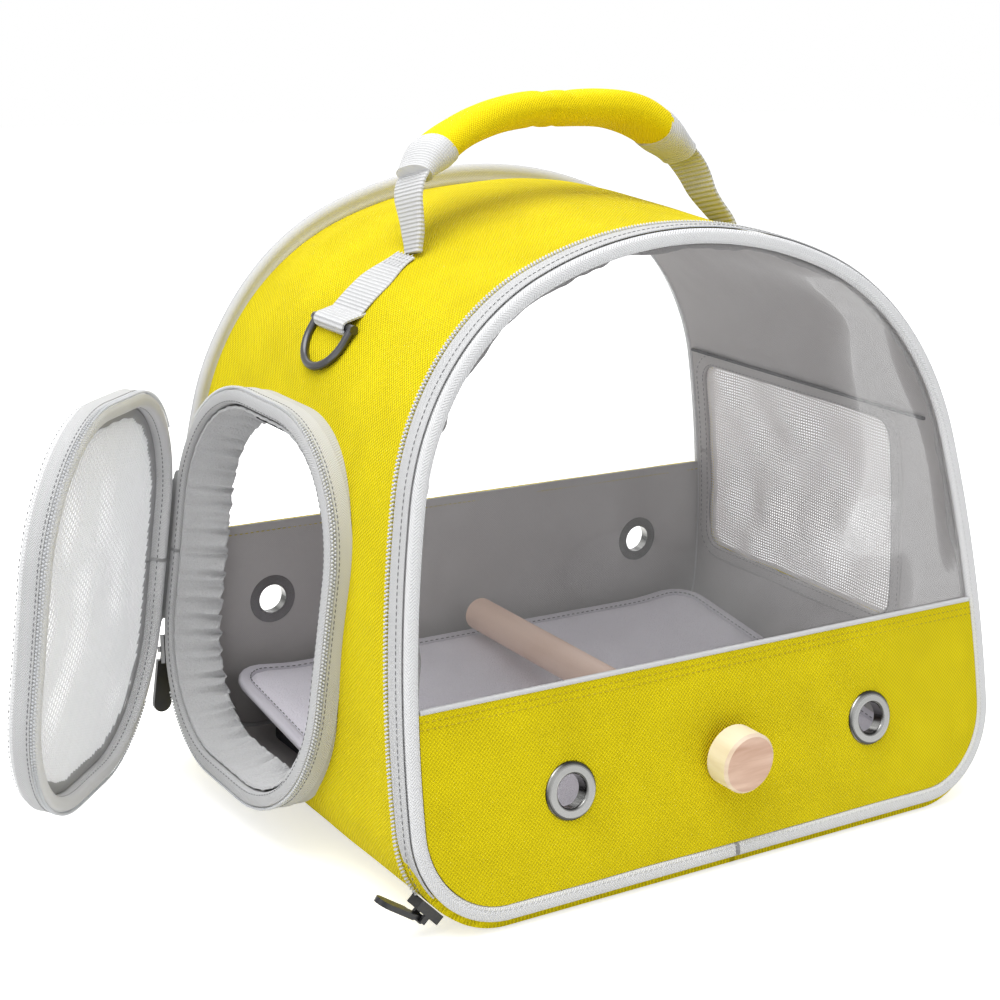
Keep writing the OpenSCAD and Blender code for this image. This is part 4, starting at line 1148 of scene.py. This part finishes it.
def make_collar():
    lip = 1.2
    reach = np.maximum(wall_depth(door_line, 0.0), 3.0) + 0.7
    t = np.linspace(0, 1, 7)
    deep = lip + (reach[:, None] - lip) * t
    outer = stack(0.25 * np.sin(PI * t) - 0.3 * (t < 0.05), deep)
    inner = stack(-DOOR_WALL - 0.2 * np.sin(PI * t), deep)
    rim = [(-0.35, 0.35), (-1.3, 0.0), (-DOOR_WALL + 1.3, 0.0), (-DOOR_WALL + 0.35, 0.35)]
    rim = np.repeat(np.array(rim)[None], len(reach), 0)
    sweep("collar_cloth", door_line, np.concatenate([outer[:, ::-1], rim, inner], 1), collar, 60)
    open_line = door_line.only(zipped)
    end = np.minimum(wall_depth(open_line, 0.5) + 0.3, COIL_W + ZIP_W)
    end = np.maximum(end, COIL_W + 0.8)
    start = np.full_like(end, COIL_W + 0.2)
    profile = stack([SEW_GAP, TAPE_FACE, TAPE_FACE, SEW_GAP], np.stack([start, start, end, end], 1))
    sweep("collar_tape", open_line, profile, collar)
    door_zip("collar", collar, 1, [(-DOOR_WALL + 1.0, 0.0)])


def make_tunnel():
    """Gathered elastic: its wall puckers more and more towards the free edge, which is rolled."""
    line = door_track(DOOR_WALL + 2, 640)
    start, deep, out_0, narrow, thick, columns = 2.0, 20, -0.2, 3.1, 1.1, 16
    t = np.linspace(0, 1, columns)[None]
    s = line.s[:, None]
    wobble = ripple_along(s, 14, 2.2, 4.0)
    gather = np.sin(2 * PI * s / 7.2 + wobble) + 0.5 * np.sin(2 * PI * s / 4.1 + 2 * wobble)
    gather = gather + 0.8 * ripple_along(s, 5, 1.6, 8.0)
    out = out_0 - narrow * t ** 1.2 + gather * (0.15 + 1.4 * t ** 2)
    depth = start + deep * t + gather * 1.3 * t ** 3
    verts = [collar(line.p[:, None] + more[..., None] * line.n[:, None], depth)
             for more in (out, out + thick)]
    obj = mesh_object("door_elastic", np.stack(verts), slab_faces(len(line.p), columns, True))
    finish_piece(obj, np.concatenate([stack(s, deep * t).reshape(-1, 2)] * 2), 80)
    girth = line.length * 1.2
    cloth_sheet(girth, 22, girth * 22)
    ring = rounded(-0.9, 0.9, -1.0, 1.0, 0.85, 3)
    profile = stack(out_0 - narrow + gather * 1.55 + thick / 2 + ring[:, 0],
                    start + deep + gather * 1.3 + ring[:, 1])
    sweep("elastic_edge", line, profile, collar, NO_CREASE)


def make_door():
    profile = rounded(-DOOR_WALL, 0, -DOOR_DEPTH, 0, 2.2, 6)
    swell = 0.3 * np.sin((profile[:, 1] + DOOR_DEPTH) / DOOR_DEPTH * PI)
    profile[:, 0] += np.where(profile[:, 0] > -1, swell, 0)
    sweep("door_frame_cloth", door_line, profile, door, 60)
    profile = rounded(SEW_GAP, TAPE_FACE, -COIL_W - ZIP_W, -COIL_W - 0.2, 0.3, 3)
    sweep("door_tape", door_line.only(zipped), profile, door)
    door_zip("door", door, -1, [(-1.0, -DOOR_DEPTH), (-DOOR_WALL, -3.0)])
    inner = door_track(DOOR_WALL + 2.5, 420)
    wavy = 0.35 * np.sin(inner.s / 2.1) + ripple_along(inner.s, 9, 0.9, 2.0)
    ring = rounded(-2.5, 2.35, -8.2, -5.8, 1.0, 3)
    profile = stack(ring[:, 0] + np.where(ring[:, 0] < 0, wavy[:, None], 0), ring[:, 1])
    sweep("door_net_hem_cloth", inner, profile, door)

    def depth(q):
        past = np.clip(np.maximum(np.abs(q[..., 0]) / 60, np.abs(q[..., 1]) / 72), 0, 1)
        return -7.0 + (1 - past ** 4) * ripple_flat(q, 34, 2.6, 3.0)

    w, h, r = DOOR_IN_W - 3, DOOR_IN_H - 3, DOOR_IN_R - 1.5
    obj = net("door_net_cloth", in_box(w, h, r), 2.2, 0.75, door, depth, math.radians(52))
    cloth_sheet(w, h, oval(w, h, r))


def make_hinge():
    """One strip of cloth from the collar over the fold to the door. It bends between the two."""
    low, high, leaf, rise = -33.0, 36.0, 8.6, 0.2
    rows, columns = 44, 22
    z = np.linspace(low, high, rows)[:, None]
    t = np.linspace(0, 1, columns)[None]
    y = DOOR_W / 2 + 0.55 + 0.25 * np.sin(z / 7.0)
    a = collar(stack(y, z), leaf * np.clip(1 - 2.2 * t, 0, 1) + rise)
    b = door(stack(y, z), -leaf * np.clip(2.2 * t - 1.2, 0, 1) - rise)
    w = smooth(0.42, 0.58, t)[..., None]
    middle = a * (1 - w) + b * w
    swell = collar(stack(y + 1, z), 0 * t + rise) - collar(stack(y, z), 0 * t + rise)
    middle = middle + swell * (1.3 * np.sin(PI * np.clip((t - 0.3) / 0.4, 0, 1)))[..., None]
    out = unit(np.cross(np.gradient(middle, axis=0), np.gradient(middle, axis=1)))
    verts = np.stack([middle, middle - out * 0.9])
    obj = mesh_object("hinge_strip", verts, slab_faces(rows, columns, False))
    finish_piece(obj, np.concatenate([stack(z, 18 * t).reshape(-1, 2)] * 2), 60)
    edge = np.array([DOOR_W / 2, 0.0])
    tuple(collar(edge, 2.0) * MM)
    tuple(door(edge, -2.0) * MM)
    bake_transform(obj)
    cloth_sheet(high - low, 21, (high - low) * 20)


# ---- Handle, straps, rings ----
def top_at(x):
    return np.where(x < CROWN_R * math.sin(CROWN_TURN), CROWN_Z + np.sqrt(CROWN_R ** 2 - x ** 2),
                    SHOULDER[1] + np.sqrt(SHOULDER_R ** 2 - (x - SHOULDER[0]) ** 2))


STRAP_TOP = SEW_GAP + WEBBING_T
HANDLE_Z = float(top_at(HANDLE_X - 1.2)) + STRAP_TOP + 0.45 + WEBBING_W / 2


def handle(q, y):
    """On the handle: x and z in its own plane, and y across the webbing. Its soft loop flops over."""
    z = q[..., 1] - WEBBING_W / 2
    c, s = math.cos(HANDLE_LEAN), math.sin(HANDLE_LEAN)
    x = np.broadcast_to(q[..., 0], np.shape(z * y))
    rise = smooth(0, HANDLE_RISE, q[..., 1] + 0 * x)
    x_flop = x - FLOP_X * rise - RIGHT_LEG_IN * smooth(30, HANDLE_X, x) * smooth(0, 20, q[..., 1])
    z_flop = FLOP_Z * rise * smooth(0, 70, x)
    return stack(x_flop, HANDLE_Y + y * c + z * s + FLOP_Y * rise, HANDLE_Z + z * c - y * s + z_flop)


def handle_bends():
    """Centres and radius of the grip's bend and of the shoulder's, from the handle's rise and reach."""
    g, l = GRIP_TURN, LEG_TURN
    x = HANDLE_X - SHOULDER_BEND_R * (math.sin(l) - math.sin(g))
    z = HANDLE_RISE - SHOULDER_BEND_R * (math.cos(g) - math.cos(l))
    spread = math.sin(g) * math.sin(l) - math.cos(l) * (1 - math.cos(g))
    r = (x * math.sin(l) - z * math.cos(l)) / spread
    centre = np.array([0, HANDLE_RISE - r])
    return centre, r, centre + (r - SHOULDER_BEND_R) * np.array([math.sin(g), math.cos(g)])


GRIP_C, GRIP_R, BEND_C = handle_bends()


def flat_webbing(thick, half_width):
    """The profile of webbing whose thickness and half width are given at each point."""
    ring = rounded(-0.5, 0.5, -1, 1, 0.28, 3)
    return stack(ring[:, 0] * np.reshape(thick, (-1, 1)), ring[:, 1] * half_width[:, None])


def make_handle():
    arcs = [arc(GRIP_C, GRIP_R, 0, GRIP_TURN, 0.02),
            arc(BEND_C, SHOULDER_BEND_R, GRIP_TURN, LEG_TURN, 0.05)]
    line = mirrored(arcs, (HANDLE_X, 0), arcs[1][1][-1], 150, False)
    from_end = np.minimum(line.s, line.length - line.s)
    width = WEBBING_W / 2 * (0.62 + 0.38 * smooth(4, 34, from_end)) * (1 - 0.25 * smooth(9, 0, from_end))
    profile = flat_webbing(WEBBING_T * (1 + smooth(30, 4, from_end)), width)
    obj = sweep("handle_webbing_cloth", line, profile, handle)
    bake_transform(obj)

    a = circle(40)
    ring_out, ring_y = (np.sign(v) * np.abs(v) ** power
                        for v, power in ((np.sin(a), 0.85), (np.cos(a), 0.8)))
    track = Track(*arc(GRIP_C, GRIP_R, -SLEEVE_TURN, SLEEVE_TURN), 110, closed=False)
    t = track.s / track.length
    puff = 0.86 + 0.14 * np.sin(PI * np.clip(t, 0.02, 0.98)) ** 0.5
    crease = 1 - 0.17 * np.exp(-((t - 0.47) / 0.022) ** 2) - 0.1 * np.exp(-((t - 0.56) / 0.018) ** 2)
    tall, wide = GRIP_T / 2 * puff * crease, GRIP_W / 2 * (0.9 + 0.1 * puff)
    profile = stack(tall[:, None] * ring_out, wide[:, None] * ring_y)
    bumps = ripple(stack(t[:, None] * 6, ring_out[None] * 1.5, ring_y[None] * 1.5), 1.0, 0.9, 3.0)
    profile[..., 0] += bumps * np.sign(ring_out)[None] * 0.6
    sweep("grip_sleeve", track, profile, handle, 80)
    for side, name in ((-1, "grip_end_left"), (1, "grip_end_right")):
        start, end = SLEEVE_TURN - math.radians(0.6), GRIP_TURN - math.radians(0.5)
        p, n = arc(GRIP_C, GRIP_R, side * start, side * end, 0.01)
        track = Track(p[::side], n[::side], 26, closed=False)
        t = (track.s / track.length)[::side]
        tall = GRIP_T / 2 * (0.93 - 0.35 * smooth(0.15, 1.0, t)) + 0.25
        wide = GRIP_W / 2 * (0.99 - 0.14 * smooth(0.3, 1.0, t))
        sweep(name, track, stack(tall[:, None] * ring_out, wide[:, None] * ring_y), handle, 60)


def make_straps():
    """Each strap with its ring's loop, the patch sewn over it, and the patch's stitches."""
    turn = math.acos((RING_Z - SHOULDER[1]) / SHOULDER_R)
    wire = RING_WIRE_R + 0.05
    loop_r = wire + WEBBING_T
    reach = lambda x, lift=0.0: math.asin((x - SHOULDER[0]) / (SHOULDER_R + lift))
    out = np.array([math.sin(turn), math.cos(turn)])
    down = np.array([math.cos(turn), -math.sin(turn)])
    centre = SHOULDER + (SHOULDER_R + SEW_GAP + loop_r) * out
    p, _ = arc(SHOULDER, SHOULDER_R + SEW_GAP + WEBBING_T / 2, reach(HANDLE_X - 8), turn - 0.085)
    a = np.radians(np.linspace(-28, 205, 26))[:, None]
    path = np.concatenate([p, centre + (wire + WEBBING_T / 2) * (np.cos(a) * out + np.sin(a) * down)])
    tangent = unit(np.gradient(path, axis=0))
    normal = np.stack([-tangent[:, 1], tangent[:, 0]], 1)
    begin, end = reach(HANDLE_X + 2, 2.7), reach(centre[0] - loop_r - 1.5, 2.7)
    patch, patch_normal = arc(SHOULDER, SHOULDER_R + STRAP_TOP + SEW_GAP + 0.7, begin, end)
    for side, name in ((-1, "left"), (1, "right")):
        flip = np.array([side, 1])
        line = Track(path * flip, normal * flip, 110, closed=False)
        x = np.abs(line.p[:, 0])
        width = WEBBING_W / 2 * (0.3 + 0.3 * smooth(HANDLE_X - 8, HANDLE_X + 2, x)
                                 + 0.4 * smooth(HANDLE_X + 3, HANDLE_X + 22, x))
        sweep("strap_" + name, line, flat_webbing(WEBBING_T, width), on_strap)
        line = Track(patch * flip, patch_normal * flip, 40, closed=False)
        x = np.abs(line.p[:, 0])
        width = (WEBBING_W - 1) / 2 * (0.62 + 0.38 * smooth(HANDLE_X + 4, HANDLE_X + 18, x))
        sweep("patch_" + name, line, flat_webbing(1.1, width), on_strap)
        rows = [rail(line, 0.8, y * width.min() + HANDLE_Y, across, 2.2,
                     lambda p: np.abs(p[:, 0]) < HANDLE_X + 9) for y in (-0.75, -0.35, 0.0, 0.35, 0.75)]
        beads("tack_" + name, rows, (0.8, 0.25, 0.3))


# ---- Stage and light ----
AMBIENT, FLOOR_TONE, FLOOR_GLOW = 0.56, 0.86, 0.62
FLOOR_HALF, FLOOR_Z = 3.0, -0.0004
AIM = Vector((0, 0, 0.12))
# Lamps: place and size in metres, power in watts.
LAMPS = [("key", (-0.45, -0.1, 1.5), 1.3, 21.5), ("side", (-1.5, -0.2, 0.7), 1.2, 3.0),
         ("fill", (0.4, -1.6, 0.7), 1.3, 1.2), ("back", (0.5, 1.2, 1.0), 1.2, 6.0)]


def white_to_camera(tree, plain, bright):
    """Mixes in the bright shader for rays that come straight from the camera or off metal and glass."""
    path = tree.nodes.new("ShaderNodeLightPath")
    seen = path.outputs["Is Camera Ray"]
    for other in ("Is Glossy Ray", "Is Transmission Ray"):
        top = tree.nodes.new("ShaderNodeMath")
        top.operation = "MAXIMUM"
        tree.links.new(seen, top.inputs[0])
        tree.links.new(path.outputs[other], top.inputs[1])
        seen = top.outputs[0]
    mix = tree.nodes.new("ShaderNodeMixShader")
    for value, socket in zip((seen, plain, bright), mix.inputs):
        tree.links.new(value, socket)
    return mix.outputs[0]


def empty_tree(owner):
    owner.use_nodes = True
    owner.node_tree.nodes.clear()
    return owner.node_tree


def make_stage():
    world = bpy.data.worlds.new("studio")
    bpy.context.scene.world = world
    tree = empty_tree(world)
    lights = []
    for colour, strength in (((0.97, 0.985, 1.0, 1), AMBIENT), ((1, 1, 1, 1), 1.0)):
        light = tree.nodes.new("ShaderNodeBackground")
        light.inputs["Color"].default_value = colour
        light.inputs["Strength"].default_value = strength
        lights.append(light.outputs[0])
    end = tree.nodes.new("ShaderNodeOutputWorld")
    tree.links.new(white_to_camera(tree, *lights), end.inputs["Surface"])

    mesh = bpy.data.meshes.new("floor")
    corners = [(x * FLOOR_HALF, y * FLOOR_HALF, FLOOR_Z)
               for x, y in ((-1, -1), (1, -1), (1, 1), (-1, 1))]
    mesh.from_pydata(corners, [], [[0, 1, 2, 3]])
    floor = place_object("floor", mesh)
    look = bpy.data.materials.new("floor")
    tree = empty_tree(look)
    diffuse, glow = tree.nodes.new("ShaderNodeBsdfDiffuse"), tree.nodes.new("ShaderNodeEmission")
    diffuse.inputs["Color"].default_value = (FLOOR_TONE, FLOOR_TONE, FLOOR_TONE, 1)
    glow.inputs["Strength"].default_value = FLOOR_GLOW
    both = tree.nodes.new("ShaderNodeAddShader")
    tree.links.new(diffuse.outputs[0], both.inputs[0])
    tree.links.new(glow.outputs[0], both.inputs[1])
    end = tree.nodes.new("ShaderNodeOutputMaterial")
    tree.links.new(white_to_camera(tree, diffuse.outputs[0], both.outputs[0]), end.inputs["Surface"])
    mesh.materials.append(look)

    for name, place, size, watts in LAMPS:
        data = bpy.data.lights.new(name, "AREA")
        data.shape, data.size, data.energy = "SQUARE", size, watts
        lamp = place_object(name, data)
        lamp.location = place
        lamp.rotation_mode = "QUATERNION"
        lamp.rotation_quaternion = (AIM - Vector(place)).to_track_quat("-Z", "Y")


bpy.context.scene.view_settings.view_transform = "Standard"
for make in (make_camera, make_gusset, make_lining, make_lining_seams, make_pad, make_front_panel,
             make_seam_edge, make_front_zip, make_back_panel, make_side_window, make_collar, make_tunnel,
             make_door, make_hinge, make_handle, make_straps, make_stage):
    make()
